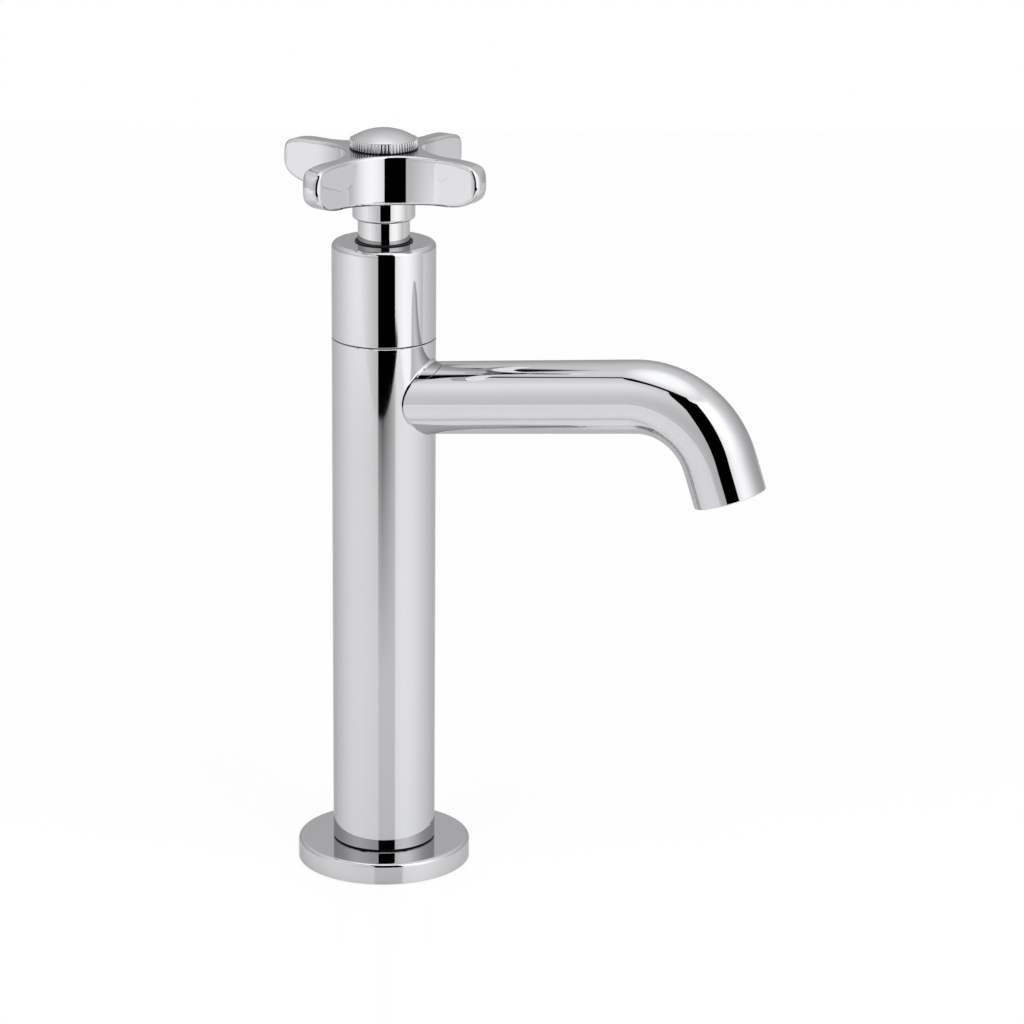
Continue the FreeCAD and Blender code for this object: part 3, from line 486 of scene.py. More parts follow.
def smooth_curve(points, count):
    """Points along a cubic curve through the given ones that starts outwards and ends inwards."""
    steps = np.hypot(*np.diff(points, axis=0).T)
    marks = np.concatenate(((0.0,), np.cumsum(steps)))
    last = len(points) - 1
    system, right = np.eye(last + 1), np.zeros((last + 1, 2))
    right[0], right[last] = (1.0, 0.0), (-1.0, 0.0)
    for i in range(1, last):
        before, after = steps[i - 1], steps[i]
        system[i, i - 1:i + 2] = after, 2 * (before + after), before
        right[i] = 3 * (after / before * (points[i] - points[i - 1])
                        + before / after * (points[i + 1] - points[i]))
    slopes = np.linalg.solve(system, right)
    spots = np.linspace(0.0, marks[-1], count)
    k = np.clip(np.searchsorted(marks, spots, side="right") - 1, 0, last - 1)
    s, h = ((spots - marks[k]) / steps[k])[:, None], steps[k][:, None]
    return ((2 * s ** 3 - 3 * s ** 2 + 1) * points[k] + (s ** 3 - 2 * s ** 2 + s) * h * slopes[k]
            + (3 * s ** 2 - 2 * s ** 3) * points[k + 1] + (s ** 3 - s ** 2) * h * slopes[k + 1])


def settled(piece):
    """Turn the piece's live modifiers into its plain mesh."""
    graph = bpy.context.evaluated_depsgraph_get()
    mesh = bpy.data.meshes.new_from_object(piece.evaluated_get(graph))
    piece.modifiers.clear()
    piece.data = mesh
    if not mesh.polygons:
        raise RuntimeError(piece.name + " came out empty")
    mesh.name = piece.name
    return piece


def even_copy(name, node, grain):
    """New object with an even closed mesh of a construction node."""
    piece = shown(name, frame["nodes"][node].data.copy())
    piece.data.materials.clear()
    work = bmesh.new()
    work.from_mesh(piece.data)
    bmesh.ops.remove_doubles(work, verts=work.verts, dist=1e-6)
    work.to_mesh(piece.data)
    work.free()
    remesh = piece.modifiers.new("even", "REMESH")
    remesh.mode = "VOXEL"
    remesh.voxel_size = grain
    return settled(piece)


# ---- node helpers ----

class Value:
    """A node's output in a sum: +, -, * and / add Math nodes to its tree."""

    def __init__(self, socket):
        self.socket = socket
        self.tree = socket.id_data

    def __add__(self, other):
        return calc("ADD", self, other)

    def __sub__(self, other):
        return calc("SUBTRACT", self, other)

    def __rsub__(self, other):
        return calc("SUBTRACT", other, self)

    def __mul__(self, other):
        return calc("MULTIPLY", self, other)

    def __truediv__(self, other):
        return calc("DIVIDE", self, other)


def wire(source, target):
    """Link a value or an output to an input socket, or set a plain value on the input."""
    if isinstance(source, Value):
        source = source.socket
    if isinstance(source, bpy.types.NodeSocket):
        target.id_data.links.new(source, target)
    else:
        target.default_value = source


def add_node(tree, kind, inputs=None, **settings):
    """A node with its settings made and its inputs, by name or number, fed with values."""
    node = tree.nodes.new(kind)
    for key, value in settings.items():
        setattr(node, key, value)
    for key, value in (inputs or {}).items():
        wire(value, node.inputs[key])
    return node


def fed(tree, kind, inputs=None, output=0, **settings):
    """One output of a new node."""
    return Value(add_node(tree, kind, inputs, **settings).outputs[output])


def calc(operation, *values):
    """Output of a Math node fed with values or numbers."""
    tree = next(value.tree for value in values if isinstance(value, Value))
    return fed(tree, "ShaderNodeMath", dict(enumerate(values)), operation=operation)


def axes(vector):
    """The three parts of a vector."""
    return [Value(part) for part in add_node(vector.tree, "ShaderNodeSeparateXYZ", {0: vector}).outputs]


def ramp(value, low, high, at_low, at_high, shape="SMOOTHSTEP"):
    """Change from one number to another between two limits."""
    inputs = {"Value": value, "From Min": low, "From Max": high, "To Min": at_low, "To Max": at_high}
    return fed(value.tree, "ShaderNodeMapRange", inputs, interpolation_type=shape)


def within(value, middle, half, soft):
    """1 where a value is nearer to the middle than the half width, with soft edges."""
    return ramp(calc("ABSOLUTE", value - middle) - half, -soft, soft, 1.0, 0.0)


def fade(azimuth, middle, near, far):
    """Level that falls away on both sides of a middle azimuth, by its own width on each side."""
    away = azimuth - middle
    width = calc("LESS_THAN", away, 0.0) * (near - far) + far
    ratio = calc("ABSOLUTE", away / width)
    return calc("EXPONENT", calc("POWER", ratio, 2.0) * -1.0)


def new_tree(kind, name, inputs, outputs):
    """A node tree with named sockets: the tree, its inputs as values, and its end's input sockets."""
    tree = bpy.data.node_groups.new(name, kind)
    for direction, sockets in (("INPUT", inputs), ("OUTPUT", outputs)):
        for label, socket in sockets.items():
            tree.interface.new_socket(name=label, in_out=direction, socket_type="NodeSocket" + socket)
    given = {socket.name: Value(socket) for socket in tree.nodes.new("NodeGroupInput").outputs}
    return tree, given, tree.nodes.new("NodeGroupOutput").inputs


# ---- stage ----

def directions(vector, turn):
    """Azimuth and elevation of a vector in degrees, with azimuth 0 towards the camera."""
    x, y, z = axes(fed(vector.tree, "ShaderNodeVectorRotate", {"Vector": vector, "Angle": -turn},
                       rotation_type="Z_AXIS"))
    return calc("DEGREES", calc("ARCTAN2", x, y * -1.0)), calc("DEGREES", calc("ARCSINE", z))


def dark_card(azimuth, height, studio):
    """Mask of the dark gap round the camera, and of the gap under the right softbox.

    The left edge leans out with height.  The softbox's lower edge falls to the right.
    """
    left, right = math.degrees(studio.card_left), math.degrees(studio.card_right)
    lean = ramp(height, *CARD_LEANS, 0.0, math.degrees(studio.card_lean))
    right_side = ramp(azimuth, right - 0.5, right + 0.5, 1.0, 0.0)
    left_side = ramp(azimuth - (left - lean), -0.5, 0.5, 0.0, 1.0)
    below = calc("LESS_THAN", height, math.degrees(studio.card_top))
    under = ramp(height + (azimuth - EDGE_AZIMUTH) * EDGE_SLOPE, *EDGE_LIMITS, 1.0, 0.0)
    foot = under * within(azimuth, *EDGE_BAND)
    return calc("MAXIMUM", left_side * right_side * below, foot)


def softbox_frame(azimuth, height, studio):
    """Mask of the overhead softbox's frame: wide in front, thin and bent down behind on the left."""
    drop = calc("POWER", calc("MAXIMUM", FRAME_BENDS - azimuth, 0.0), 2.0) * FRAME_BEND
    half = ramp(azimuth, *FRAME_NARROWS, *FRAME_HALVES)
    middle = math.degrees(studio.frame_height) - drop
    return within(height, middle, half, 0.4) * within(azimuth, *FRAME_BAND)


def studio_level(tree, studio):
    """Level of the studio in every direction: backdrop, softboxes, dark card and softbox frame."""
    ray = fed(tree, "ShaderNodeTexCoord", output="Generated")
    azimuth, height = directions(ray, studio.camera_turn)
    backdrop = ramp(height, *BACKDROP_RISE, studio.backdrop_low, studio.backdrop_high)
    left_height = ramp(height, *LEFT_FOOT, 1.0, 0.5) + ramp(height, *LEFT_TOP, 0.0, -0.45)
    left = fade(azimuth, *LEFT_SOFTBOX) * left_height * studio.left_light
    right = fade(azimuth, *RIGHT_SOFTBOX) * studio.right_light
    back = 180.0 - calc("ABSOLUTE", azimuth)
    behind = ramp(back, 20.0, 70.0, studio.behind_light, 0.0) * ramp(height, *BEHIND_FOOT, 1.0, 0.0)
    top = ramp(height, *OVERHEAD_FALL, studio.top_low, studio.top_high)
    over = ramp(height, *OVERHEAD_EDGE, 0.0, 1.0)
    level = (backdrop + left + right + behind) * (1.0 - over) + top * over
    return level * (1.0 - dark_card(azimuth, height, studio)) * (1.0 - softbox_frame(azimuth, height, studio))


def build_world(studio):
    """White to the camera; a soft studio to light, metal and glass."""
    world = bpy.data.worlds.new("studio")
    world.use_nodes = True
    bpy.context.scene.world = world
    tree = world.node_tree
    tree.nodes.clear()
    seen = fed(tree, "ShaderNodeLightPath", output="Is Camera Ray")
    strength = studio_level(tree, studio) * (1.0 - seen) + seen
    shade = fed(tree, "ShaderNodeBackground", {"Color": (1, 1, 1, 1), "Strength": strength})
    add_node(tree, "ShaderNodeOutputWorld", {"Surface": shade})


def floor_material(studio):
    """Glossy pale table: white to the camera under a soft shadow, with painted shade and light in its colour.
    """
    material = bpy.data.materials.new("floor_paper")
    material.use_nodes = True
    tree = material.node_tree
    tree.nodes.clear()
    seen = fed(tree, "ShaderNodeLightPath", output="Is Camera Ray")
    place = fed(tree, "ShaderNodeTexCoord", output="Object")
    azimuth, _ = directions(place, studio.camera_turn)
    away = fed(tree, "ShaderNodeVectorMath", {0: place}, "Value", operation="LENGTH")
    # Painted shade: towards its front edge the table turns see-through, so the dark studio darkens it there
    fall = ramp(away, studio.floor_full, studio.floor_front, 1.0, studio.floor_edge, "LINEAR")
    side = ramp(calc("ABSOLUTE", azimuth + 1.0), 0.0, 32.0, 0.0, 1.0, "LINEAR")
    solid = fall + side * (1.0 - fall)
    # Painted shade behind the tap, and a painted pool of light far off on the left, in the table's colour
    shade = ramp(calc("ABSOLUTE", azimuth), 70.0, 150.0, 1.0, studio.floor_painted_shade_behind)
    tone = shade + fade(azimuth, -55.0, 40.0, 40.0) * ramp(away, 0.5, 0.9, 0.0, 0.2)
    lit = fed(tree, "ShaderNodeBsdfDiffuse", {"Color": tone * studio.floor_colour})
    mirror = fed(tree, "ShaderNodeBsdfAnisotropic", {"Color": tone * studio.floor_gloss, "Roughness": 0.12})
    table = fed(tree, "ShaderNodeAddShader", {0: lit, 1: mirror})
    glow = fed(tree, "ShaderNodeEmission")
    paper = fed(tree, "ShaderNodeMixShader", {0: seen * studio.floor_glow, 1: table, 2: glow})
    clear = fed(tree, "ShaderNodeBsdfTransparent")
    mixed = fed(tree, "ShaderNodeMixShader", {0: calc("MAXIMUM", solid, seen), 1: clear, 2: paper})
    add_node(tree, "ShaderNodeOutputMaterial", {"Surface": mixed})
    return material


def build_floor(studio):
    """Table top under the tap."""
    corners = []
    for azimuth, distance in TABLE_CORNERS:
        turn = math.radians(azimuth) + studio.camera_turn - RIGHT_ANGLE
        corners.append((distance * math.cos(turn), distance * math.sin(turn), 0.0))
    mesh = bpy.data.meshes.new("floor")
    mesh.from_pydata(corners, [], [tuple(range(len(corners)))])
    mesh.materials.append(floor_material(studio))
    floor = shown("floor", mesh)


def build_camera(studio):
    """Camera at the reference view."""
    spin = Matrix.Rotation(studio.camera_turn, 3, "Z")
    side = spin @ Vector((1, 0, 0))
    up = spin @ Vector((0, math.sin(studio.camera_tilt), math.cos(studio.camera_tilt)))
    back = spin @ Vector((0, -math.cos(studio.camera_tilt), math.sin(studio.camera_tilt)))
    right = math.cos(studio.camera_roll) * side + math.sin(studio.camera_roll) * up
    top = math.cos(studio.camera_roll) * up - math.sin(studio.camera_roll) * side
    data = bpy.data.cameras.new("camera")
    data.sensor_width = 36.0
    data.lens = studio.camera_lens
    data.clip_start = 0.05
    data.clip_end = 20.0
    camera = shown("camera", data)
    turn = Matrix((right, top, back)).transposed().to_4x4()
    camera.matrix_world = Matrix.Translation(spin @ Vector(studio.camera_place)) @ turn
    bpy.context.scene.camera = camera


# ---- materials ----

def handling_marks():
    """Group: uneven tone, smudged roughness and a fine height for any finish."""
    tree, given, result = new_tree(
        "ShaderNodeTree", "handling_marks",
        {"Color": "Color", "Tone": "Float", "Roughness": "Float", "Smudge": "Float", "Scale": "Float"},
        {"Color": "Color", "Roughness": "Float", "Height": "Float"})
    coords = fed(tree, "ShaderNodeTexCoord", output="Object")
    broad = fed(tree, "ShaderNodeTexNoise", {"Vector": coords, "Scale": given["Scale"], "Detail": 4.0})
    fine = fed(tree, "ShaderNodeTexNoise", {"Vector": coords, "Scale": given["Scale"] * 14.0, "Detail": 2.0})
    tone = (broad - 0.5) * given["Tone"] + 1.0
    wire(fed(tree, "ShaderNodeVectorMath", {0: given["Color"], 3: tone}, operation="SCALE"), result["Color"])
    grain = fine * 0.4 + ramp(broad, 0.45, 0.75, 0.0, 1.0)
    wire(grain * given["Smudge"] + given["Roughness"], result["Roughness"])
    wire(fine, result["Height"])
    return tree


def turning_lines():
    """Group: the fine rings that a lathe leaves, by radius and by height."""
    tree, given, result = new_tree("ShaderNodeTree", "turning_lines", {"Pitch": "Float"}, {"Height": "Float"})
    x, y, z = axes(fed(tree, "ShaderNodeTexCoord", output="Object"))
    step = (calc("SQRT", x * x + y * y) + z) / given["Pitch"]
    wire(fed(tree, "ShaderNodeTexNoise", {"W": step, "Scale": 1.0, "Detail": 2.0}, noise_dimensions="1D"),
         result["Height"])
    return tree


def group_node(tree, build, values):
    """Outputs of a shared group, which is built once and is named as its function is."""
    group = bpy.data.node_groups.get(build.__name__) or build()
    return add_node(tree, "ShaderNodeGroup", values, node_tree=group).outputs


def finish(colours, name):
    """One of the finishes: a Principled shader with handling marks, and turning lines if it has a pitch."""
    if name in bpy.data.materials:
        return bpy.data.materials[name]
    colour, rough, smudge, tone, scale, metallic, bump, pitch, gloss = FINISHES[name]
    material = bpy.data.materials.new(name)
    material.use_nodes = True
    tree = material.node_tree
    shader = tree.nodes["Principled BSDF"].inputs
    shader["Metallic"].default_value = metallic
    shader["Specular IOR Level"].default_value = gloss
    if colour == "chrome":
        shader["Specular Tint"].default_value = (*colours.chrome_edge, 1.0)
    marks = group_node(tree, handling_marks, {
        "Color": (*getattr(colours, colour), 1.0), "Tone": tone, "Smudge": smudge, "Scale": scale,
        "Roughness": getattr(colours, rough) if isinstance(rough, str) else rough})
    wire(marks["Color"], shader["Base Color"])
    wire(marks["Roughness"], shader["Roughness"])
    relief = group_node(tree, turning_lines, {"Pitch": pitch}) if pitch else marks
    if bump:
        height = {"Height": relief["Height"], "Strength": bump, "Distance": 0.1 * MM}
        wire(fed(tree, "ShaderNodeBump", height), shader["Normal"])
    return material


def chrome_handle_painted_glow(colours):
    """Chrome of the cross handle, whose upright walls glow with painted light where other reflections see
    them.

    The arms face each other, so that without this painted glow they would mirror the dark gap a second time.
    """
    material = finish(colours, "chrome_handle_painted_glow")
    tree = material.node_tree
    across, _, upward = axes(fed(tree, "ShaderNodeNewGeometry", output="Normal"))
    # Upright walls, where glossy rays see the painted glow instead of the chrome's reflection
    wall = ramp(calc("ABSOLUTE", upward), 0.5, 0.8, 1.0, 0.0)
    again = fed(tree, "ShaderNodeLightPath", output="Is Glossy Ray")
    rim = fed(tree, "ShaderNodeLayerWeight", output="Facing")
    # Painted glow: level of the emission, dimmer at grazing and brighter on walls that face +X
    level = ramp(rim, 0.7, 1.0, 1.02, 0.45) * ramp(across, 0.3, 0.8, 1.0, 1.32)
    pale = fed(tree, "ShaderNodeEmission", {"Strength": level})
    metal = tree.nodes["Principled BSDF"].outputs[0]
    mixed = fed(tree, "ShaderNodeMixShader", {0: wall * again, 1: metal, 2: pale})
    wire(mixed, tree.nodes["Material Output"].inputs["Surface"])
    return material


def dress(colours, *finishes):
    """Give construction nodes their finishes."""
    for name in finishes:
        for node in KEPT_NODES[name]:
            mesh = frame["nodes"][node].data
            mesh.materials.clear()
            mesh.materials.append(finish(colours, name))


def fit(piece, body, slot, *nodes):
    """Let a finished piece ride on its body in place of construction nodes, which are hidden; slot is not
    used.
    """
    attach(piece, body)
    if nodes:
        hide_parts(*nodes)


def fit_chrome(colours, piece, body, *nodes):
    """Chrome a finished piece and fit it."""
    piece.data.materials.append(finish(colours, "chrome_plate"))
    fit(piece, body, "chrome", *nodes)


# ---- pieces that repeat ----

def grown(name, tree, values):
    """Plain mesh object of a Geometry Nodes tree with its inputs set by socket identifier."""
    piece = shown(name, bpy.data.meshes.new(name + "_seed"))
    modifier = piece.modifiers.new(tree.name, "NODES")
    modifier.node_group = tree
    for item in tree.interface.items_tree:
        if item.in_out == "INPUT" and item.name in values:
            modifier[item.identifier] = values[item.name]
    return settled(piece)


def geometry_tree(name, **inputs):
    """A Geometry Nodes tree with inputs, their labels written with underscores, and a material."""
    inputs = {label.replace("_", " "): socket for label, socket in inputs.items()}
    return new_tree("GeometryNodeTree", name, {**inputs, "Material": "Material"}, {"Geometry": "Geometry"})


def close_tree(geometry, material, result):
    """End a tree in Realize Instances and Set Material."""
    tree = geometry.tree
    real = fed(tree, "GeometryNodeRealizeInstances", {"Geometry": geometry})
    wire(fed(tree, "GeometryNodeSetMaterial", {"Geometry": real, "Material": material}), result[0])
    return tree


def spots(count, **place):
    """Points at places worked out from their index."""
    spot = fed(count.tree, "ShaderNodeCombineXYZ", place)
    return fed(count.tree, "GeometryNodePoints", {"Count": count, "Position": spot})


def rim_ribs_tree():
    """Round ribs that stand upright round a rim."""
    tree, given, result = geometry_tree("rim_ribs", Count="Int", Rim_Radius="Float", Rib_Radius="Float",
                                        Height="Float", Base="Float")
    angle = fed(tree, "GeometryNodeInputIndex") * (2 * math.pi) / given["Count"]
    points = spots(given["Count"], X=calc("COSINE", angle) * given["Rim Radius"],
                   Y=calc("SINE", angle) * given["Rim Radius"], Z=given["Base"] + given["Height"] * 0.5)
    rib = add_node(tree, "GeometryNodeMeshCylinder",
                   {"Vertices": 20, "Radius": given["Rib Radius"], "Depth": given["Height"]}).outputs
    smooth = fed(tree, "GeometryNodeSetShadeSmooth", {"Geometry": rib["Mesh"], "Selection": rib["Side"]})
    placed = fed(tree, "GeometryNodeInstanceOnPoints", {
        "Points": points, "Instance": smooth, "Rotation": fed(tree, "ShaderNodeCombineXYZ", {"Z": angle})})
    return close_tree(placed, given["Material"], result)


def honeycomb_tree():
    """Hexagonal cells on a staggered grid inside a circle."""
    tree, given, result = geometry_tree("honeycomb", Across="Int", Pitch="Float", Wall="Float",
                                        Depth="Float", Limit="Float", Base="Float")
    index, across, pitch = fed(tree, "GeometryNodeInputIndex"), given["Across"], given["Pitch"]
    row, column = calc("FLOOR", index / across), calc("MODULO", index, across)
    middle = (across - 1.0) * 0.5
    x = (column - middle + calc("MODULO", row, 2.0) * 0.5) * pitch
    y = (row - middle) * pitch * (math.sqrt(3.0) / 2.0)
    inside = calc("LESS_THAN", calc("SQRT", x * x + y * y), given["Limit"])
    points = spots(across * across, X=x, Y=y, Z=given["Base"])
    corner = (pitch * 0.5 - given["Wall"] * 0.5) * (2.0 / math.sqrt(3.0))
    cell = fed(tree, "GeometryNodeCurvePrimitiveCircle", {"Resolution": 6, "Radius": corner}, mode="RADIUS")
    turned = fed(tree, "GeometryNodeTransform", {"Geometry": cell, "Rotation": (0, 0, math.radians(30.0))})
    bar = fed(tree, "GeometryNodeCurvePrimitiveQuadrilateral",
              {"Width": given["Wall"] * 0.97, "Height": given["Depth"]}, mode="RECTANGLE")
    wall = fed(tree, "GeometryNodeCurveToMesh", {"Curve": turned, "Profile Curve": bar})
    placed = fed(tree, "GeometryNodeInstanceOnPoints",
                 {"Points": points, "Instance": wall, "Selection": inside})
    return close_tree(placed, given["Material"], result)


def thread_tree():
    """Ridge of a screw thread that winds up the wall of a hole."""
    tree, given, result = geometry_tree("thread_ridge", Radius="Float", Pitch="Float", Length="Float",
                                        Depth="Float", Place="Vector")
    helix = fed(tree, "GeometryNodeCurveSpiral", {
        "Resolution": 48, "Rotations": given["Length"] / given["Pitch"], "Start Radius": given["Radius"],
        "End Radius": given["Radius"], "Height": given["Length"]})
    tooth = fed(tree, "GeometryNodeCurvePrimitiveCircle", {"Resolution": 4, "Radius": given["Depth"]},
                mode="RADIUS")
    ridge = fed(tree, "GeometryNodeCurveToMesh", {"Curve": helix, "Profile Curve": tooth, "Fill Caps": True})
    moved = fed(tree, "GeometryNodeTransform", {"Geometry": ridge, "Translation": given["Place"]})
    return close_tree(moved, given["Material"], result)


# ---- operators ----

class TapOperator:
    """What the tap's operators share."""
    bl_options = {"REGISTER", "UNDO"}

    def settings(self, context):
        """The scene's sizes and finishes, and the radius that eases every plain edge."""
        return context.scene.tap_sizes, context.scene.tap_finish, context.scene.tap_sizes.fine_edge


class TAP_OT_stage(TapOperator, bpy.types.Operator):
    """Build the studio, the floor and the camera."""
    bl_idname = "tap.stage"
    bl_label = "Stage"

    def execute(self, context):
        """Build the stage."""
        studio = context.scene.tap_studio
        build_camera(studio)
        build_world(studio)
        build_floor(studio)
        context.scene.view_settings.view_transform = "Standard"
        return {"FINISHED"}


class TAP_OT_foot(TapOperator, bpy.types.Operator):
    """Build the round flange of the foot."""
    bl_idname = "tap.foot"
    bl_label = "Foot"

    def execute(self, context):
        """Build the foot."""
        sizes, colours, fine = self.settings(context)
        r_out, low, high = ring_of("base_flange")
        gasket_r, _, gasket_top = ring_of("deck_gasket")
        column_r, bore = ring_of("bonnet_sleeve")[0], sizes.flange_bore
        step_r, step_z, _ = ring_of("foot_ring")
        flange = lathe("flange", eased([
            (bore, low, fine), (column_r, low, fine), (column_r, gasket_top, fine),
            (gasket_r, gasket_top, fine), (gasket_r, low, fine), (r_out, low, fine),
            (r_out, high, sizes.flange_edge), (step_r, high, fine), (step_r, step_z, fine),
            (bore, step_z, fine)]))
        fit_chrome(colours, flange, "root", "base_flange")
        return {"FINISHED"}


class TAP_OT_column(TapOperator, bpy.types.Operator):
    """Finish the column and build the bonnet that covers the cartridge."""
    bl_idname = "tap.column"
    bl_label = "Column and bonnet"

    def execute(self, context):
        """Build the bonnet."""
        sizes, colours, fine = self.settings(context)
        dress(colours, "chrome_plate")
        r_out, low, high = ring_of("bonnet_sleeve")
        spigot_r, step = sizes.flange_bore, ring_of("valve_block")[2] + fine * 3
        hole, roof = sizes.bonnet_hole, high - sizes.bonnet_roof
        bore = r_out - sizes.bonnet_wall
        bonnet = lathe("bonnet", eased([
            (spigot_r, low, fine), (r_out, low, 2 * fine), (r_out, high, sizes.bonnet_edge),
            (hole, high, 2 * fine), (hole, roof, fine), (bore, roof, fine), (bore, step, fine),
            (spigot_r, step, fine)]))
        fit_chrome(colours, bonnet, "root", "bonnet_sleeve")
        return {"FINISHED"}


class TAP_OT_spout(TapOperator, bpy.types.Operator):
    """Build the bent spout with its open bore and round lip."""
    bl_idname = "tap.spout"
    bl_label = "Spout"

    def execute(self, context):
        """Build the spout."""
        sizes, colours, fine = self.settings(context)
        start, end, lip = sizes.spout_start, spout_end(sizes), sizes.lip_edge
        seat = end - sizes.seat_depth
        corners = [
            (sizes.spout_bore, start, fine), (sizes.spout_radius, start, fine),
            (sizes.spout_radius, end, lip), (sizes.seat_radius, end, lip),
            (sizes.seat_radius, seat, 0.3 * fine), (sizes.spout_bore, seat, 0.3 * fine)]
        profile = self.with_stations(sizes, [(r, -s, e) for r, s, e in reversed(corners)])
        spout = lathe("spout", profile, lambda s: self.ring(sizes, s))
        fit_chrome(colours, spout, "root", "spout_tube")
        return {"FINISHED"}

    def ring(self, sizes, height):
        """Place of a ring whose height is the distance along the line, counted backwards."""
        origin, above, aside, along = spout_place(sizes, -height)
        return origin, above, -aside, -along

    def with_stations(self, sizes, corners):
        """Profile of the tube's wall with enough rings along the bend."""
        step = BEND_STEP * sizes.spout_bend
        result = []
        points = eased(corners)
        for here, there in zip(points, points[1:] + points[:1]):
            result.append(here)
            reach = there[1] - here[1]
            if abs(there[0] - here[0]) > 1e-9 or abs(reach) < 2 * step:
                continue
            count = math.ceil(abs(reach) / step)
            result += [(here[0], here[1] + reach * k / count, here[2], here[3]) for k in range(1, count)]
        return result


class TAP_OT_stem(TapOperator, bpy.types.Operator):
    """Build the bright stem, the lip of the black ring round it and the collar under the handle."""
    bl_idname = "tap.stem"
    bl_label = "Stem and collar"

    def execute(self, context):
        """Build the stem and the collar."""
        sizes, colours, fine = self.settings(context)
        r_out, low, high = ring_of("stem_sleeve")
        r_in = r_out - sizes.stem_wall
        stem = lathe("stem", eased([(r_in, low, fine), (r_out, low, 2 * fine), (r_out, high, fine),
                                    (r_in, high, fine)]))
        fit_chrome(colours, stem, "handle", "stem_sleeve")
        self.lip(sizes, colours, r_out + fine, ring_of("bonnet_sleeve")[2])
        hub = ring_of("cross_handle")[1]
        collar_r, collar_low, top = ring_of("handle_collar")
        spigot = sizes.collar_spigot
        collar = lathe("collar", eased([
            (r_out, collar_low, fine), (collar_r, collar_low, sizes.collar_edge), (collar_r, hub, fine),
            (spigot, hub, fine), (spigot, top, fine), (r_in, top, fine), (r_in, high, fine),
            (r_out, high, fine)]))
        fit_chrome(colours, collar, "handle", "handle_collar")
        return {"FINISHED"}

    def lip(self, sizes, colours, inner, low):
        """Rounded lip of the black ring round the stem."""
        fine, outer, top = sizes.fine_edge, sizes.guide_radius, low + sizes.guide_lip
        lip = lathe("guide_lip", eased([(inner, low, 0.1 * fine), (outer, low, 0.1 * fine),
                                        (outer, top, fine), (inner, top, fine)]))
        lip.data.materials.append(finish(colours, "plastic_black"))
        fit(lip, "root", "black_plastic")


class TAP_OT_handle(TapOperator, bpy.types.Operator):
    """Build the cross handle: an even mesh laid onto the exact form of its webs, arms and edges."""
    bl_idname = "tap.handle"
    bl_label = "Cross handle"

    def execute(self, context):
        """Build the handle."""
        sizes, colours, _ = self.settings(context)
        low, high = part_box("cross_handle")
        form = HandleForm(sizes, low.z, high.z)
        piece = even_copy("handle_cross", "cross_handle", sizes.handle_grain)
        mesh = piece.data
        points = self.read(mesh, "co")
        outer = np.flatnonzero(np.hypot(points[:, 0], points[:, 1]) > HUB_SHARE * sizes.hub_flat)
        moved = points[outer]
        for _ in range(FIT_ROUNDS):
            distance, normal = form.surface(moved)
            moved -= np.clip(distance, -FIT_STEP, FIT_STEP)[:, None] * normal
        if np.abs(distance).max() > FIT_LEFT:
            raise RuntimeError("the handle's mesh didn't settle on its form")
        points[outer] = moved
        mesh.vertices.foreach_set("co", points.ravel())
        mesh.update()
        normals = self.read(mesh, "normal")
        normals[outer] = form.surface(moved)[1]
        smooth_with(mesh, normals)
        # The handle's chrome carries a painted glow on its upright walls
        mesh.materials.append(chrome_handle_painted_glow(colours))
        fit(piece, "handle", "chrome", "cross_handle")
        return {"FINISHED"}

    def read(self, mesh, field):
        """One vector of every vertex."""
        values = np.empty(3 * len(mesh.vertices))
        mesh.vertices.foreach_get(field, values)
        return values.reshape(-1, 3)


class TAP_OT_cap(TapOperator, bpy.types.Operator):
    """Build the domed cap, the seal under it and the ribs round its rim."""
    bl_idname = "tap.cap"
    bl_label = "Cap"

    def execute(self, context):
        """Build the cap."""
        sizes, colours, fine = self.settings(context)
        rim_r, skirt_low, top = ring_of("index_cap")
        seat, rim_high = ring_of("cap_gasket")[1], top - sizes.cap_dome_drop
        rim_low = seat + sizes.seal_line
        seal_in, seal_out, ease = sizes.cap_skirt + 2 * fine, rim_r + 0.5 * fine, 0.4 * fine
        seal = lathe("cap_seal", eased([(seal_in, seat, ease), (seal_out, seat, ease),
                                        (seal_out, rim_low, ease), (seal_in, rim_low, ease)]))
        seal.data.materials.append(finish(colours, "rubber_black"))
        fit(seal, "handle", "black_rubber", "cap_gasket")
        core, skirt, inner = rim_r - sizes.rib_radius, sizes.cap_skirt, sizes.cap_skirt - sizes.cap_wall
        ceiling, dome_r = top - 2 * sizes.cap_wall, core - 0.2 * MM
        profile = eased([
            (0.0, ceiling, 0.0), (inner, ceiling - 1 * MM, fine), (inner, skirt_low, fine),
            (skirt, skirt_low, fine), (skirt, rim_low, fine), (core, rim_low, fine),
            (core, rim_high, 0.5 * fine), (dome_r, rim_high, 0.0)], closed=False)[:-1]
        sphere = (dome_r ** 2 + sizes.cap_dome_drop ** 2) / (2 * sizes.cap_dome_drop)
        for k in range(DOME_RINGS + 1):
            angle = math.asin(dome_r / sphere) * (1 - k / DOME_RINGS)
            profile.append((sphere * math.sin(angle), top - sphere * (1 - math.cos(angle)),
                            math.sin(angle), math.cos(angle)))
        cap = lathe("cap", profile, closed=False)
        fit_chrome(colours, cap, "handle", "index_cap")
        cap.data.materials.append(finish(colours, "chrome_satin"))
        for face in cap.data.polygons:
            face.material_index = int(face.center.z > rim_high)
        ribs = grown("cap_ribs", rim_ribs_tree(), {
            "Count": sizes.rib_count, "Rim Radius": core, "Rib Radius": sizes.rib_radius,
            "Height": rim_high - rim_low - fine, "Base": rim_low,
            "Material": finish(colours, "chrome_plate")})
        fit(ribs, "handle", "chrome")
        return {"FINISHED"}


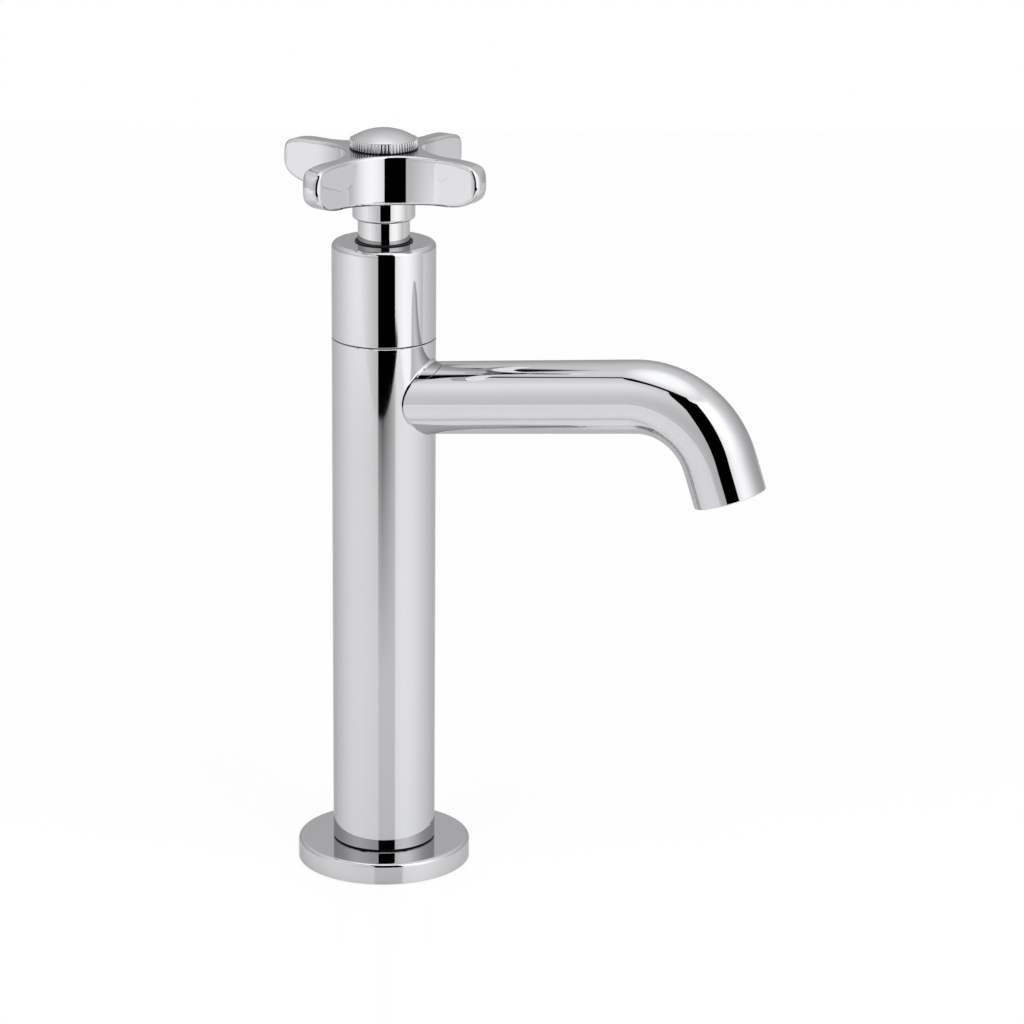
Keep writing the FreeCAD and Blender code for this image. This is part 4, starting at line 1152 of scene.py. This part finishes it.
class TAP_OT_aerator(TapOperator, bpy.types.Operator):
    """Build the aerator's sleeve and honeycomb in the spout's mouth."""
    bl_idname = "tap.aerator"
    bl_label = "Aerator"

    inset: mm("Inset", "Distance of the aerator's face inside the mouth", 0.8)
    sleeve_top: mm("Sleeve top", "Distance of the sleeve's far end inside the mouth", 8.0)
    sleeve_radius: mm("Sleeve radius", "Outer radius of the sleeve", 10.7)
    sleeve_bore: mm("Sleeve bore", "Inner radius of the sleeve", 9.3)
    lip_radius: mm("Lip radius", "Inner radius of the sleeve's lip", 8.7)
    lip_thickness: mm("Lip thickness", "Thickness of the sleeve's lip", 0.9)
    comb_depth: mm("Comb depth", "Depth of the honeycomb", 1.6)
    comb_across: IntProperty(name="Cells across", description="Cells across the honeycomb's grid", default=9)

    def execute(self, context):
        """Build the aerator."""
        sizes, colours, fine = self.settings(context)
        plastic = finish(colours, "plastic_grey")
        low, top, lip_top = self.inset, self.sleeve_top, self.inset + self.lip_thickness
        bore, outer, lip_r = self.sleeve_bore, self.sleeve_radius, self.lip_radius
        sleeve = lathe("aerator_sleeve", eased([
            (lip_r, low, 2 * fine), (outer, low, fine), (outer, top, fine), (bore, top, fine),
            (bore, lip_top, fine), (lip_r, lip_top, fine)]))
        sleeve.data.materials.append(plastic)
        comb = grown("aerator_comb", honeycomb_tree(), {
            "Across": self.comb_across, "Pitch": sizes.cell_pitch, "Wall": 2 * sizes.cell_wall,
            "Depth": self.comb_depth, "Limit": bore - 0.4 * sizes.cell_pitch,
            "Base": lip_top + self.comb_depth / 2, "Material": plastic})
        for piece, node in ((sleeve, "aerator_housing"), (comb, "aerator_screen")):
            piece.data.transform(mouth_matrix(sizes))
            fit(piece, "root", "grey_plastic", node)
        return {"FINISHED"}


class TAP_OT_works(TapOperator, bpy.types.Operator):
    """Finish the inner works and seals, and cut the two threads in the foot."""
    bl_idname = "tap.works"
    bl_label = "Inner works"

    def execute(self, context):
        """Finish the works."""
        sizes, colours, _ = self.settings(context)
        dress(colours, *(name for name in KEPT_NODES if name != "chrome_plate"))
        tree = thread_tree()
        mounts = {mount["name"]: mount for mount in frame["record"]["mounts"]}
        for name, pitch in (("stud_hole", sizes.stud_thread), ("hose_port", sizes.hose_thread)):
            hole = mounts[name]["dims"]
            x, y, _ = mounts[name]["pos_m"]
            ridge = grown(name + "_thread", tree, {
                "Radius": hole["r_mm"] * MM, "Pitch": pitch, "Length": hole["length_mm"] * MM - 2 * pitch,
                "Depth": sizes.thread_depth, "Place": (x, y, pitch),
                "Material": finish(colours, "brass_turned")})
            fit(ridge, "root", "raw_brass")
        return {"FINISHED"}


OPERATORS = (TAP_OT_stage, TAP_OT_foot, TAP_OT_column, TAP_OT_spout, TAP_OT_stem, TAP_OT_handle,
             TAP_OT_cap, TAP_OT_aerator, TAP_OT_works)


class TAP_PT_panel(bpy.types.Panel):
    """The tap's pieces, sizes, finishes and studio in the sidebar."""
    bl_idname = "TAP_PT_panel"
    bl_label = "Cross handle tap"
    bl_space_type = "VIEW_3D"
    bl_region_type = "UI"
    bl_category = "Tap"

    def draw(self, context):
        """List the operators and the properties."""
        for operator in OPERATORS:
            self.layout.operator(operator.bl_idname)
        for group in (context.scene.tap_sizes, context.scene.tap_finish, context.scene.tap_studio):
            box = self.layout.box()
            for name in group.bl_rna.properties.keys():
                if name not in ("rna_type", "name"):
                    box.prop(group, name)


GROUPS = {"tap_sizes": TapSizes, "tap_finish": TapFinish, "tap_studio": TapStudio}


def register():
    """Register the classes and hang the properties on the scene."""
    for cls in (*GROUPS.values(), *OPERATORS, TAP_PT_panel):
        bpy.utils.register_class(cls)
    for name, cls in GROUPS.items():
        setattr(bpy.types.Scene, name, PointerProperty(type=cls))


def unregister():
    """Remove the properties and the classes."""
    for name in GROUPS:
        delattr(bpy.types.Scene, name)
    for cls in reversed((*GROUPS.values(), *OPERATORS, TAP_PT_panel)):
        bpy.utils.unregister_class(cls)


def main():
    """Build everything in order."""
    register()
    for operator in OPERATORS:
        family, name = operator.bl_idname.split(".")
        if getattr(getattr(bpy.ops, family), name)() != {"FINISHED"}:
            raise RuntimeError(operator.bl_label + " didn't finish")


if __name__ == "__main__":
    main()
